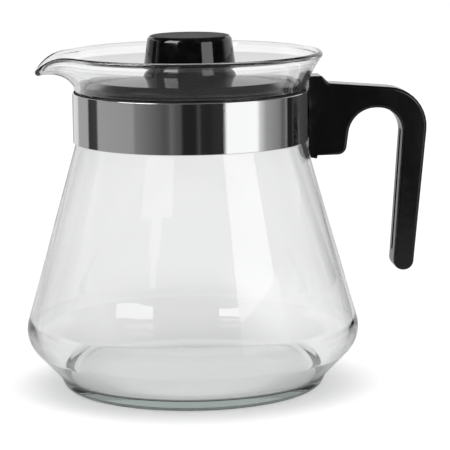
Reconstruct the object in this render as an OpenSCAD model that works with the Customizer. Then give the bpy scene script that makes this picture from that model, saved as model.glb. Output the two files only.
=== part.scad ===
// Glass coffee server: a blown vessel with a pouring lip, a steel neck band that clamps
// a moulded handle, and a low-crowned lid that lifts out by its knob.
// The vessel's axis is Z, the table is z = 0, the handle points along +X and the lip along -X.

/* [Vessel] */
// Largest outside radius of the body, at the shoulder
body_r = 75; // [70:0.5:80]
// Height of the largest radius above the table
shoulder_z = 26.5; // [24:0.5:32]
// Rounding radius of the shoulder
shoulder_round = 14; // [10:0.5:17]
// Radius of the heel wall where it would meet the table
foot_r = 58; // [52:0.5:59]
// Rounding of the foot's edge
foot_round = 4; // [2:0.5:4.5]
// Radius at the top of the heel
heel_r = 60.6; // [60:0.2:64]
// Height of the heel
heel_z = 6; // [5.5:0.5:9]
// Rounding at the top of the heel
heel_round = 2; // [1:0.5:4]
// Outside radius of the neck
neck_r = 51.5; // [46:0.5:56]
// Height where the cone of the body ends and the straight neck starts
neck_z = 110.8; // [98:0.2:130]
// Wall thickness of the glass
wall = 2.2; // [1.8:0.1:2.8]
// Thickness of the glass floor
floor_t = 5; // [3:0.5:6]
// Rounding between the floor and the wall, inside
floor_round = 5; // [2:0.5:7]

/* [Flare and spout] */
// Height of the flare, from the end of the neck to the top of the rim
flare_h = 16.5; // [12:0.5:22]
// How far the rim reaches out past the neck
flare_out = 7.9; // [5:0.1:11]
// Height over which the neck bends into the flare
flare_bend = 1.4; // [1:0.1:3]
// Radius of the fire-polished bead along the rim
bead_r = 1.6; // [1.4:0.1:2]
// How far the spout's tip reaches out past the rim
spout_out = 9.8; // [6:0.2:13]
// How far the spout's tip hangs below the rim
spout_drop = 6.6; // [3:0.2:8]
// Height of the spout's bend above the end of the neck
spout_rise = 9.6; // [7:0.2:11]
// How far the spout's bend leans out
spout_lean = 2.4; // [1:0.2:4]
// Sharpness of the spout's tip, in degrees of its round
spout_tip = 5; // [3:0.5:9]

/* [Band] */
// Height of the steel neck band
band_h = 22.3; // [18:0.1:26]
// Sheet thickness of the band
band_t = 0.7; // [0.5:0.1:1]
// Space between the end of the cone and the band's lower edge
band_lift = 0.4; // [0.2:0.1:2]
// Thickness of the liner between the glass and the band
liner_t = 0.45; // [0.3:0.05:1]
// How far the liner shows above the band
liner_show = 0.5; // [0.2:0.1:1]
// How far the band's two ears reach into the handle
ear_out = 9.5; // [8:0.5:11]
// Height of the ears
ear_h = 16; // [12:0.5:17]
// Space between the two ears
ear_gap = 1.6; // [1:0.1:2]

/* [Handle] */
// Thickness of the handle, front to back
handle_t = 14; // [13:0.5:18]
// Height of the handle's top edge above the band
handle_rise = 2.6; // [1:0.1:4]
// Fall of the top edge from the block to the outer corner
handle_droop = 3.8; // [0:0.1:5]
// How far the grip's outer face stands out from the band
handle_out = 53.6; // [50:0.2:60]
// Rounding of the outer corner
handle_corner = 18; // [14:0.5:22]
// Length of the grip, from the handle's top edge to its lower end
grip_len = 85.9; // [75:0.1:95]
// How far the grip's lower end leans in towards the vessel
grip_lean = 8.3; // [3:0.1:10]
// Width of the grip at the finger opening
grip_w_top = 10.3; // [9.5:0.1:13]
// Width of the grip at its lower end
grip_w_end = 9.3; // [8:0.1:10]
// Thickness of the arm above the finger opening
arm_h = 11.5; // [9:0.1:13]
// Rounding of the finger opening beside the block
arch_round_block = 12.5; // [8:0.5:12.5]
// Rounding of the finger opening beside the grip
arch_round_grip = 11; // [8:0.5:11]
// How far the block stands out from the band at the finger opening
block_out = 19.5; // [17:0.1:20]
// How far the block's outer face draws in towards its lower end
block_draw = 2.9; // [1:0.1:4]
// How far the block hangs below the band
block_hang = 7.5; // [4:0.5:9]
// Rounding of the block's lower corner
block_corner = 4; // [2:0.5:5]
// Height of the lip above the handle's top edge
lip_h = 3.4; // [2:0.1:6]
// How far the lip's top stands out from the band
lip_out = 5.9; // [4.5:0.1:7]
// Length of the slope behind the lip
lip_run = 3.3; // [2:0.1:5]
// Rounding of the lip's top edge
lip_round = 0.8; // [0.4:0.1:1.2]
// Rounding at the foot of the lip's slope
lip_foot_round = 1.5; // [0.5:0.1:2]
// How far the tab below the block hangs down
tab_h = 1.5; // [1:0.1:2.5]
// How far the tab stands out from the band
tab_out = 3.7; // [3.2:0.1:5]
// How far the tab's lower edge rises towards the vessel
tab_rise = 1; // [0.4:0.1:1]
// Rounding of the tab's edges
tab_round = 0.45; // [0.2:0.05:0.5]
// Width of the moulded groove on the grip's inner face
groove_w = 3.4; // [2:0.1:5]
// Depth of that groove
groove_d = 1; // [0.5:0.1:2]

/* [Clamp] */
// Radius of the clamp screw's shank
clamp_r = 2; // [1.5:0.25:2.5]
// How far the clamp screw's axis stands out from the band
clamp_out = 5.4; // [5:0.1:6]
// Radius of the clamp screw's head
clamp_head_r = 3.8; // [3.4:0.1:4.2]
// Height of the clamp screw's head
clamp_head_h = 2.3; // [1.8:0.1:2.6]
// Outside radius of the clamp washer
washer_r = 4.2; // [4.2:0.1:4.6]
// Thickness of the clamp washer
washer_t = 0.8; // [0.5:0.1:1]
// Width of the square nut across its flats
nut_w = 7; // [6.5:0.1:7.4]
// Thickness of the square nut
nut_t = 3; // [2.4:0.1:3.2]
// Wall of the handle between the slot and the screw's recess
clamp_wall = 1.8; // [1.5:0.1:2]

/* [Lid] */
// How far the lid's edge overhangs the neck's bore
lid_overhang = 0.2; // [0.1:0.05:0.8]
// Height of the lid's edge above its seat
lid_edge_h = 1.6; // [0.8:0.1:3]
// Width of the sloping margin round the lid's crown
margin_w = 5; // [3:0.1:8]
// Rise of that margin
margin_rise = 2.1; // [1:0.1:4]
// Rise of the shallow crown from the margin to the knob
crown_rise = 2.6; // [1:0.1:5]
// Thickness of the lid
lid_t = 2.2; // [1.6:0.1:3]
// Depth of the skirt below the lid's seat
skirt_h = 10; // [6:0.5:16]
// Space between the skirt and the neck's bore
skirt_room = 1; // [0.6:0.1:2]
// Thickness of the skirt
skirt_t = 1.8; // [1.4:0.1:2.4]

/* [Knob] */
// Radius of the knob's base
knob_r = 20.8; // [17:0.2:24]
// Radius of the knob's top, before its edge is rounded
knob_top_r = 18.7; // [15:0.1:22]
// Height of the knob
knob_h = 16.1; // [13:0.1:20]
// Rounding of the knob's top edge
knob_round = 2.4; // [1:0.1:3]
// Wall thickness of the knob
knob_wall = 2.2; // [1.6:0.1:2.8]
// Rounding inside the knob's top
crown_round = 1; // [0.5:0.1:2]
// Width of the flat land on the lid outside the knob
land_w = 0.6; // [0.4:0.1:2]
// Outside radius of the screw boss inside the knob
boss_r = 5; // [4:0.1:6]
// Depth of the screw hole in the boss
boss_depth = 10; // [8:0.5:11]
// Radius of the knob screw's shank
knob_screw_r = 1.9; // [1.5:0.1:2.4]
// Length of the knob screw that goes into the boss
knob_screw_bite = 8.5; // [6:0.1:9.5]
// Radius of the knob screw's head
knob_head_r = 3.6; // [3.2:0.1:4.2]
// Height of the knob screw's head
knob_head_h = 2.3; // [1.8:0.1:2.6]
// Outside radius of the knob washer
knob_washer_r = 5.5; // [5:0.1:7]
// Thickness of the knob washer
knob_washer_t = 0.8; // [0.5:0.1:1.2]

/* [Fits] */
// Space between layers that are wrapped round each other
wrap_gap = 0.05; // [0.02:0.01:0.1]
// Space between the handle and what it sits against
saddle_gap = 0.15; // [0.1:0.05:0.4]
// Space between the lid's edge and its seat
seat_gap = 0.3; // [0.2:0.05:0.5]
// Space round a screw in a clearance hole
screw_gap = 0.2; // [0.1:0.05:0.3]
// Space round a screw in its thread
thread_gap = 0.05; // [0.02:0.01:0.1]

/* [Hidden] */

$fn = 120;
arc_steps = 8;
flare_steps = 6;
bead_steps = 5;
spout_steps = 26;
round_steps = 60;
// The rim's bead thickens with this power of the way up the flare
bead_power = 16;

// Small lengths that only keep cuts and joins clean
ledge = 0.12;
tongue = 2;
join = 0.6;
over = 1;
// Half of the flat that is left on the grip's rounded end
end_flat = 0.2;
// Shares of a screw's head: rounding of its edge, and reach, depth and width of its cross recess
head_edge = 0.4;
drive_reach = 0.55;
drive_depth = 0.55;
drive_slot = 0.2;

glass_tint = [0.82, 0.88, 0.87, 0.4];
steel_tint = [0.78, 0.78, 0.79];
black_tint = [0.07, 0.07, 0.075];
liner_tint = [0.04, 0.04, 0.045];

// Heights and radii that follow from the driving sizes
bore_r = neck_r - wall;
liner_in = neck_r + wrap_gap;
liner_out = liner_in + liner_t;
band_in = liner_out + wrap_gap;
band_r = band_in + band_t;
band_z0 = neck_z + band_lift;
band_z1 = band_z0 + band_h;
band_mid_z = (band_z0 + band_z1) / 2;
liner_z1 = band_z1 + liner_show;
neck_top = liner_z1 + wrap_gap;
flare_z = neck_top + join;
rim_z = flare_z + flare_h;
rim_r = neck_r + flare_out;
mid_r = neck_r - wall / 2;

// The shoulder's arc and the angles where the heel's taper and the cone leave it
shoulder_hub = [body_r - shoulder_round, shoulder_z];
taper_angle = tangent_angle(shoulder_hub, shoulder_round, [heel_r, heel_z], 1);
cone_angle = tangent_angle(shoulder_hub, shoulder_round, [neck_r, neck_z], -1);

// The bead's middle runs round the rim and along two straight sides to the spout's tip
edge_r = rim_r - bead_r;
edge_z = rim_z - bead_r;
spout_spread = acos(edge_r / (edge_r + spout_out));

// The lid rests where the flare's inner face has just opened to its edge
lid_r = bore_r + lid_overhang;
seat_search = [for (i = [0:1000]) let (p = flare_point(i / 1000, 0, -1)) if (p.x > lid_r + seat_gap) p];
seat_z = seat_search[0].y;
lid_edge_z = seat_z + lid_edge_h;
land_r = knob_r + land_w;
crown_r = lid_r - margin_w;
crown_z = lid_edge_z + margin_rise;
knob_z = crown_z + crown_rise;
skirt_r = bore_r - skirt_room;
washer_z = knob_z - lid_t;

// The handle's places, measured from the band
handle_top = band_z1 + handle_rise;
outer_z = handle_top - handle_droop;
grip_end_z = handle_top - grip_len;
arch_z = handle_top - arm_h;
block_z = band_z0 - block_hang;
// The grip's outer and inner lines, which lean in towards the vessel
lean = grip_lean / grip_len;
grip_top_x = band_r + handle_out;
outer_x = grip_top_x + handle_corner * lean;
outer_end_x = outer_x - (outer_z - grip_end_z) * lean;
inner_top_x = grip_top_x - grip_w_top;
inner_end_x = outer_end_x - grip_w_end;

// The clamp's places inside the handle's block
slot_half = ear_gap / 2 + band_t + saddle_gap;
recess_floor = slot_half + clamp_wall;
clamp_x = band_r + clamp_out;

// Unit vector along v
function unit(v) = v / norm(v);

// Angle at which a straight line from p touches a circle, on the given side
function tangent_angle(hub, r, p, side) =
    atan2(p.y - hub.y, p.x - hub.x) + side * acos(r / norm(p - hub));

// Points along an arc round hub
function arc(hub, r, from, to) =
    [for (i = [0:arc_steps]) let (a = from + (to - from) * i / arc_steps) hub + r * [cos(a), sin(a)]];

// Points of the arc that rounds the corner b between its neighbours a and c
function corner_arc(a, b, c, r) =
    let (
        u = unit(a - b),
        v = unit(c - b),
        half = acos(u * v) / 2,
        hub = b + unit(u + v) * r / sin(half),
        p = b + u * r / tan(half) - hub,
        q = b + v * r / tan(half) - hub,
        from = atan2(p.y, p.x),
        turn = (atan2(q.y, q.x) - from + 540) % 360 - 180
    )
    arc(hub, r, from, from + turn);

// Outline whose corners [x, y, r] are each rounded by their own radius r
function rounded(corners) =
    let (n = len(corners))
    [for (i = [0:n - 1])
        let (
            a = corners[(i + n - 1) % n],
            b = corners[i],
            c = corners[(i + 1) % n]
        )
        each b.z > 0 ? corner_arc([a.x, a.y], [b.x, b.y], [c.x, c.y], b.z) : [[b.x, b.y]]];

// The same points as corners that stay sharp
function sharp(points) = [for (p = points) [p.x, p.y, 0]];

// Point at share t of a curve from a to c that is drawn towards b
function bezier(a, b, c, t) = a * (1 - t) * (1 - t) + b * 2 * t * (1 - t) + c * t * t;

// Direction of that curve at share t
function bezier_way(a, b, c, t) = unit((b - a) * (1 - t) + (c - b) * t);

// Outside radius of the body's cone at height z
function cone_r(z) = neck_r + (neck_z - z) * tan(cone_angle);

// The flare's middle line has three control points, which depend on the share q of the spout
function bend(q) = [mid_r + q * spout_lean, flare_z + flare_bend + q * (spout_rise - flare_bend)];
function edge(q) = [edge_r + q * spout_out, edge_z - q * q * spout_drop];
function flare_mid(t, q) = bezier([mid_r, flare_z], bend(q), edge(q), t);
function flare_way(t, q) = bezier_way([mid_r, flare_z], bend(q), edge(q), t);
function flare_half(t) = wall / 2 - ledge + (bead_r - wall / 2 + ledge) * pow(t, bead_power);

// Point on the flare's outer face (side 1) or inner face (side -1)
function flare_point(t, q, side) =
    let (way = flare_way(t, q))
    flare_mid(t, q) + side * flare_half(t) * [way.y, -way.x];

// Section of the flare: a tongue inside the neck's wall, the outer face, the bead and the inner face
function flare_section(q) =
    let (
        way = flare_way(1, q),
        out = [way.y, -way.x]
    )
    concat(
        [[mid_r + wall / 4, neck_top - tongue]],
        [for (i = [0:flare_steps]) flare_point(i / flare_steps, q, 1)],
        [for (i = [1:bead_steps - 1])
            let (a = 180 * i / bead_steps) edge(q) + bead_r * (out * cos(a) + way * sin(a))],
        [for (i = [flare_steps:-1:0]) flare_point(i / flare_steps, q, -1)],
        [[mid_r - wall / 4, neck_top - tongue]]
    );

// Share of the spout at an angle from its middle: the sides are straight in plan and the tip is round
function spout_share(angle) =
    let (
        whole = norm([spout_spread, spout_tip]) - spout_tip,
        eased = spout_spread * (norm([angle, spout_tip]) - spout_tip) / whole
    )
    (edge_r / cos(spout_spread - eased) - edge_r) / spout_out;

// Height of the lid's top at radius r, outside the knob's land
function lid_top(r) = lookup(r, [[land_r, knob_z], [crown_r, crown_z], [lid_r, lid_edge_z]]);

// Outside of the vessel below the flare, from the table up
function vessel_outside() = concat(
    [[0, 0, 0], [foot_r, 0, foot_round], [heel_r, heel_z, heel_round]],
    sharp(arc(shoulder_hub, shoulder_round, taper_angle, cone_angle)),
    [[neck_r, neck_z, 0], [neck_r, neck_top, 0]]
);

// Inside of the vessel below the flare, from the neck down
function vessel_inside() =
    let (
        floor_r = heel_r - (wall + (floor_t - heel_z) * sin(taper_angle)) / cos(taper_angle)
    )
    concat(
        [[bore_r, neck_top, 0], [bore_r, neck_z - wall * tan(cone_angle / 2), 0]],
        sharp(arc(shoulder_hub, shoulder_round - wall, cone_angle, taper_angle)),
        [[floor_r, floor_t, floor_round], [0, floor_t, 0]]
    );

// Place of the grip's inner line at height z
function grip_in(z) =
    inner_end_x + (inner_top_x - inner_end_x) * (z - grip_end_z) / (arch_z - grip_end_z);

// Outline of the handle in the XZ plane, with its inner end still inside the neck
function handle_outline() =
    let (grip_end_r = grip_w_end / 2 - end_flat)
    rounded([
        [band_in - over, handle_top + lip_h, 0],
        [band_r + lip_out, handle_top + lip_h, lip_round],
        [band_r + lip_out + lip_run, handle_top, lip_foot_round],
        [outer_x, outer_z, handle_corner],
        [outer_end_x, grip_end_z, grip_end_r],
        [inner_end_x, grip_end_z, grip_end_r],
        [inner_top_x, arch_z, arch_round_grip],
        [band_r + block_out, arch_z, arch_round_block],
        [band_r + block_out - block_draw, block_z, block_corner],
        [band_r + tab_out, block_z, tab_round],
        [band_r + tab_out, block_z - tab_h, tab_round],
        [band_in - over, block_z - tab_h + tab_rise, 0]
    ]);

// Places the children on the clamp screw's axis, with local z pointing to the handle's back
module at_clamp(y) {
    translate([clamp_x, y, band_mid_z])
        rotate([-90, 0, 0])
            children();
}

// Cross recess that a driver fits, cut downwards from z = 0
module cross_recess(r, depth) {
    for (turn = [0, 90])
        rotate(turn)
            translate([-r, -drive_slot * r, -depth])
                cube([2 * r, 2 * drive_slot * r, depth + over]);
}

// Pan head on z = 0 with its shank below
module screw(shank_r, shank_l, head_r, head_h) {
    difference() {
        union() {
            rotate_extrude()
                polygon(rounded([[0, 0, 0], [head_r, 0, 0], [head_r, head_h, head_edge * head_h],
                                 [0, head_h, 0]]));
            translate([0, 0, -shank_l])
                cylinder(r = shank_r, h = shank_l + head_h / 2);
        }
        translate([0, 0, head_h])
            cross_recess(drive_reach * head_r, drive_depth * head_h);
    }
}

module washer(outer, inner, t) {
    difference() {
        cylinder(r = outer, h = t);
        translate([0, 0, -over])
            cylinder(r = inner, h = t + 2 * over);
    }
}

// The flare with its spout, as one closed ring of sections
module flare_ring() {
    plain = 360 - 2 * spout_spread;
    angles = concat(
        [for (i = [0:spout_steps - 1]) spout_spread * (2 * i / spout_steps - 1)],
        [for (i = [0:round_steps - 1]) spout_spread + plain * i / round_steps]
    );
    sections = [for (a = angles) flare_section(a < spout_spread ? spout_share(a) : 0)];
    rings = len(angles);
    count = len(sections[0]);
    points = [for (i = [0:rings - 1]) for (p = sections[i])
        [-p.x * cos(angles[i]), -p.x * sin(angles[i]), p.y]];
    faces = [for (i = [0:rings - 1]) for (k = [0:count - 1])
        let (
            a = i * count + k,
            b = i * count + (k + 1) % count,
            c = (i + 1) % rings * count + (k + 1) % count,
            d = (i + 1) % rings * count + k
        )
        each [[a, b, c], [a, c, d]]];
    polyhedron(points, faces, convexity = 4);
}

module glass_vessel() {
    color(glass_tint) {
        rotate_extrude(convexity = 4)
            polygon(rounded(concat(vessel_outside(), vessel_inside())));
        flare_ring();
    }
}

module band_liner() {
    color(liner_tint)
        translate([0, 0, band_z0])
            washer(liner_out, liner_in, liner_z1 - band_z0);
}

module neck_band() {
    root = ear_gap / 2 + band_t / 2;
    open = asin(root / band_in);
    color(steel_tint)
        difference() {
            union() {
                rotate(open)
                    rotate_extrude(angle = 360 - 2 * open)
                        translate([band_in, band_z0])
                            square([band_t, band_h]);
                for (side = [0, 1])
                    mirror([0, side, 0])
                        translate([band_in + band_t / 4, ear_gap / 2, band_mid_z - ear_h / 2])
                            cube([ear_out + 3 * band_t / 4, band_t, ear_h]);
            }
            at_clamp(-handle_t)
                cylinder(r = clamp_r + screw_gap, h = 2 * handle_t);
        }
}

// What the handle keeps clear of: the vessel's cone, the band and the flare
module handle_keep_out() {
    low_z = block_z - tab_h - over;
    outer = [for (i = [0:flare_steps]) flare_point(i / flare_steps, 0, 1) + [saddle_gap, 0]];
    rotate_extrude()
        polygon(concat(
            [[0, low_z], [cone_r(low_z) + saddle_gap, low_z]],
            [[band_r + saddle_gap, neck_z - (band_r - neck_r) / tan(cone_angle)]],
            [for (p = outer) if (p.x > band_r + saddle_gap) p],
            [[0, rim_z]]
        ));
}

module handle() {
    pocket_w = nut_w + 2 * saddle_gap;
    pocket_t = nut_t + saddle_gap;
    ear_room = ear_h + 2 * saddle_gap;
    slot_end = band_r + ear_out + saddle_gap;
    groove_z0 = grip_end_z + grip_w_end;
    groove_z1 = arch_z - arch_round_grip;
    color(black_tint)
        difference() {
            translate([0, handle_t / 2, 0])
                rotate([90, 0, 0])
                    linear_extrude(handle_t)
                        polygon(handle_outline());
            handle_keep_out();
            // Slot for the band's ears
            translate([band_in - over, -slot_half, band_mid_z - ear_room / 2])
                cube([slot_end - band_in + over, 2 * slot_half, ear_room]);
            // Pocket for the nut, filled from the neck's side
            translate([band_in - over, -slot_half - pocket_t, band_mid_z - pocket_w / 2])
                cube([clamp_x + pocket_w / 2 - band_in + over, pocket_t + over, pocket_w]);
            // Clearance hole and recess for the clamp screw
            at_clamp(0)
                cylinder(r = clamp_r + screw_gap, h = handle_t);
            at_clamp(recess_floor)
                cylinder(r = washer_r + screw_gap, h = handle_t);
            // Moulded groove along the grip's inner face
            translate([0, groove_w / 2, 0])
                rotate([90, 0, 0])
                    linear_extrude(groove_w)
                        polygon([
                            [grip_in(groove_z0) - over, groove_z0],
                            [grip_in(groove_z0) + groove_d, groove_z0],
                            [grip_in(groove_z1) + groove_d, groove_z1],
                            [grip_in(groove_z1) - over, groove_z1]
                        ]);
        }
}

module clamp_screw() {
    color(steel_tint)
        at_clamp(recess_floor + washer_t)
            screw(clamp_r, recess_floor + washer_t + slot_half + nut_t, clamp_head_r, clamp_head_h);
}

module clamp_washer() {
    color(steel_tint)
        at_clamp(recess_floor)
            washer(washer_r, clamp_r + screw_gap, washer_t);
}

module clamp_nut() {
    color(steel_tint)
        difference() {
            translate([clamp_x - nut_w / 2, -slot_half - nut_t, band_mid_z - nut_w / 2])
                cube([nut_w, nut_t, nut_w]);
            at_clamp(-handle_t)
                cylinder(r = clamp_r + thread_gap, h = handle_t);
        }
}

module lid_cover() {
    hole_r = knob_screw_r + screw_gap;
    skirt_in = skirt_r - skirt_t;
    color(black_tint)
        rotate_extrude()
            polygon(concat(
                [[hole_r, knob_z]],
                [for (r = [land_r, crown_r, lid_r]) [r, lid_top(r)]],
                [[lid_r, seat_z], [skirt_r, seat_z]],
                [[skirt_r, seat_z - skirt_h], [skirt_in, seat_z - skirt_h]],
                [for (r = [skirt_in, crown_r, land_r]) [r, lid_top(r) - lid_t]],
                [[hole_r, washer_z]]
            ));
}

module lid_knob() {
    top = knob_z + knob_h;
    color(black_tint)
        rotate_extrude()
            polygon(rounded([
                [0, top, 0],
                [knob_top_r, top, knob_round],
                [knob_r, knob_z, 0],
                [knob_r - knob_wall, knob_z, 0],
                [knob_top_r - knob_wall, top - knob_wall, crown_round],
                [boss_r, top - knob_wall, 0],
                [boss_r, knob_z, 0],
                [knob_screw_r + thread_gap, knob_z, 0],
                [knob_screw_r + thread_gap, knob_z + boss_depth, 0],
                [0, knob_z + boss_depth, 0]
            ]));
}

module knob_screw() {
    color(steel_tint)
        translate([0, 0, washer_z - knob_washer_t])
            mirror([0, 0, 1])
                screw(knob_screw_r, knob_washer_t + lid_t + knob_screw_bite, knob_head_r, knob_head_h);
}

module knob_washer() {
    color(steel_tint)
        translate([0, 0, washer_z - knob_washer_t])
            washer(knob_washer_r, knob_screw_r + screw_gap, knob_washer_t);
}

glass_vessel();
band_liner();
neck_band();
handle();
clamp_screw();
clamp_washer();
clamp_nut();
lid_cover();
lid_knob();
knob_screw();
knob_washer();
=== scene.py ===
"""Finished looks for a glass coffee server.

A blown vessel with a pouring lip, a polished neck band, a moulded handle and a lift-out lid are built
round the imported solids, dressed, and set on a white table under soft studio light.
"""

import logging
import math
from dataclasses import dataclass
from enum import Enum
from functools import reduce

import bmesh
import bpy
import numpy as np
from mathutils import Matrix, Vector


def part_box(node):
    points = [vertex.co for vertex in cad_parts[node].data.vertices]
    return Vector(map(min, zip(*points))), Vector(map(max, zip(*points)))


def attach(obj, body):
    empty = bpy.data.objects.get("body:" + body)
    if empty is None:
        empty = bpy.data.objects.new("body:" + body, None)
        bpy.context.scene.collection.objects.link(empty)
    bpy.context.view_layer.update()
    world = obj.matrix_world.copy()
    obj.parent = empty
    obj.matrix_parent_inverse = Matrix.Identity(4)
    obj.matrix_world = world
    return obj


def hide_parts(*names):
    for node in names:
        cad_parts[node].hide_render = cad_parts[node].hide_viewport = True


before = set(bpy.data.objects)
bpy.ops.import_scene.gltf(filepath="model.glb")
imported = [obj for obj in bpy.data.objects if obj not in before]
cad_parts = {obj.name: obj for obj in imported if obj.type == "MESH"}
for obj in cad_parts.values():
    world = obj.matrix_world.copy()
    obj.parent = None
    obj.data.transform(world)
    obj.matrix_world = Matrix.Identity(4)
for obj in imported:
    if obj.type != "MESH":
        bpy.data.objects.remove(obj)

MM = 0.001
ARC_STEPS = 10
TURN_SEGMENTS = 240
WEAR_BESIDE = 0.6
SOFT_CREASE = 35
LOG = logging.getLogger("coffee_server")

Item = bpy.types.Object
Material = bpy.types.Material
Node = bpy.types.Node
Tree = bpy.types.NodeTree
Socket = bpy.types.NodeSocket
Sockets = bpy.types.bpy_prop_collection
Colour = tuple[float, float, float]
Corner = tuple[float, float, float]
Points = list[np.ndarray]


class Body(Enum):
    """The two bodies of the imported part."""

    CARAFE = "carafe"
    LID = "lid"


class Slot(Enum):
    """The record's material slots."""

    GLASS = "clear_glass"
    LINER = "liner_rubber"
    STEEL = "polished_steel"
    HANDLE = "handle_black"
    FASTENER = "fastener_steel"
    LID = "lid_black"
    KNOB = "knob_black"


# Flat outlines


def unit(v: np.ndarray) -> np.ndarray:
    """Gives the unit vector along v."""
    return v / np.linalg.norm(v)


def arc(hub: np.ndarray, radius: float, start: float, end: float, steps: int = ARC_STEPS) -> Points:
    """Lays points along an arc.

    Args:
        hub: The arc's centre.
        radius: Its radius.
        start: First angle in radians.
        end: Last angle in radians.
        steps: Number of steps between them.

    Returns:
        The points, ends included.
    """
    return [hub + radius * np.array([math.cos(a), math.sin(a)]) for a in np.linspace(start, end, steps + 1)]


def corner_arc(a: np.ndarray, b: np.ndarray, c: np.ndarray, radius: float) -> Points:
    """Rounds the corner b between its neighbours a and c.

    Args:
        a: Point before the corner.
        b: The corner.
        c: Point after the corner.
        radius: Radius of the rounding.

    Returns:
        Points of the arc, from a's side to c's side.
    """
    u, v = unit(a - b), unit(c - b)
    half = math.acos(float(np.clip(u @ v, -1, 1))) / 2
    hub = b + unit(u + v) * radius / math.sin(half)
    p = b + u * radius / math.tan(half) - hub
    q = b + v * radius / math.tan(half) - hub
    start = math.atan2(p[1], p[0])
    turn = (math.atan2(q[1], q[0]) - start + 3 * math.pi) % (2 * math.pi) - math.pi
    return arc(hub, radius, start, start + turn)


def rounded(corners: list[Corner], closed: bool = True) -> Points:
    """Rounds each corner of an outline by its own radius.

    Args:
        corners: Corners as (x, y, radius).
        closed: Whether the last corner joins the first.

    Returns:
        The rounded outline's points.
    """
    flat = [np.array(corner[:2], float) for corner in corners]
    points: Points = []
    count = len(corners)
    for i, corner in enumerate(corners):
        inner = closed or 0 < i < count - 1
        if corner[2] > 0 and inner:
            points += corner_arc(flat[i - 1], flat[i], flat[(i + 1) % count], corner[2])
        else:
            points.append(flat[i])
    return points


# Node trees


class Wiring:
    """Adds nodes to one node tree and joins them."""

    def __init__(self, tree: Tree) -> None:
        """Takes the tree to work on."""
        self.tree = tree

    def add(self, kind: str, feeds: dict | None = None, **settings: object) -> Node:
        """Adds a node.

        Args:
            kind: The node's type name.
            feeds: Values or sockets for its inputs, by name or place.
            **settings: The node's own settings.

        Returns:
            The new node.
        """
        node = self.tree.nodes.new(kind)
        for name, value in settings.items():
            setattr(node, name, value)
        for key, value in (feeds or {}).items():
            self.feed(node.inputs[key], value)
        return node

    def out(self, kind: str, feeds: dict | None = None, **settings: object) -> Socket:
        """Adds a node and gives its first output."""
        return self.add(kind, feeds, **settings).outputs[0]

    def feed(self, target: Socket, value: object) -> None:
        """Joins a socket to an input, or sets the input's value.

        Args:
            target: The input.
            value: A socket or a plain value.
        """
        if isinstance(value, Socket):
            self.tree.links.new(value, target)
        else:
            target.default_value = value

    def math(self, operation: str, *values: object) -> Socket:
        """Adds a calculation and gives its result."""
        return self.out("ShaderNodeMath", dict(enumerate(values)), operation=operation)

    def whole(self, operation: str, *values: object) -> Socket:
        """Adds a calculation with whole numbers and gives its result."""
        return self.out("FunctionNodeIntegerMath", dict(enumerate(values)), operation=operation)

    def times(self, first: object, *others: object) -> Socket:
        """Multiplies values with each other."""
        return reduce(lambda product, other: self.math("MULTIPLY", product, other), others, first)

    def vector(self, x: object = 0.0, y: object = 0.0, z: object = 0.0) -> Socket:
        """Joins three parts to a vector."""
        return self.out("ShaderNodeCombineXYZ", {0: x, 1: y, 2: z})

    def ramp(self, value: object, low: object, high: object, to_low: float, to_high: float) -> Socket:
        """Maps a value smoothly from one span to another.

        Args:
            value: The value to map.
            low: Start of its span.
            high: End of its span.
            to_low: Result at the start.
            to_high: Result at the end.

        Returns:
            The mapped value, held within the new span.
        """
        feeds = {0: value, 1: low, 2: high, 3: to_low, 4: to_high}
        return self.out("ShaderNodeMapRange", feeds, interpolation_type="SMOOTHSTEP")

    def blend(self, share: object, a: object, b: object) -> Socket:
        """Mixes two colours.

        Args:
            share: Share of the second colour.
            a: First colour.
            b: Second colour.

        Returns:
            The mixed colour.
        """
        node = self.add("ShaderNodeMix", data_type="RGBA")
        for key, value in {"Factor_Float": share, "A_Color": a, "B_Color": b}.items():
            self.feed(next(s for s in node.inputs if s.identifier == key), value)
        return next(s for s in node.outputs if s.identifier == "Result_Color")

    def glow(self, level: object) -> Socket:
        """Adds a white light of a level."""
        return self.out("ShaderNodeEmission", {"Color": (1, 1, 1, 1), "Strength": level})

    def separate(self, vector: Socket) -> list[Socket]:
        """Splits a vector into its three parts."""
        return list(self.add("ShaderNodeSeparateXYZ", {0: vector}).outputs)


@dataclass(frozen=True)
class Plug:
    """One socket of a node tree's interface."""

    name: str
    kind: str
    out: bool = False


def new_tree(name: str, family: str, plugs: list[Plug]) -> tuple[Wiring, Sockets, Sockets]:
    """Starts a node tree with its interface.

    Args:
        name: The tree's name.
        family: GeometryNodeTree or ShaderNodeTree.
        plugs: Its inputs and outputs.

    Returns:
        The wiring, the sockets of the group's inputs and those of its outputs.
    """
    tree = bpy.data.node_groups.new(name, family)
    for plug in plugs:
        way = "OUTPUT" if plug.out else "INPUT"
        tree.interface.new_socket(plug.name, in_out=way, socket_type="NodeSocket" + plug.kind)
    wiring = Wiring(tree)
    return wiring, wiring.add("NodeGroupInput").outputs, wiring.add("NodeGroupOutput").inputs


def floats(*names: str) -> list[Plug]:
    """Lists number inputs by their names."""
    return [Plug(name, "Float") for name in names]


NO_LIP = dict.fromkeys(("Lip Spread", "Lip Round", "Rim Radius", "Lip Reach"), 1.0)


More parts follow.
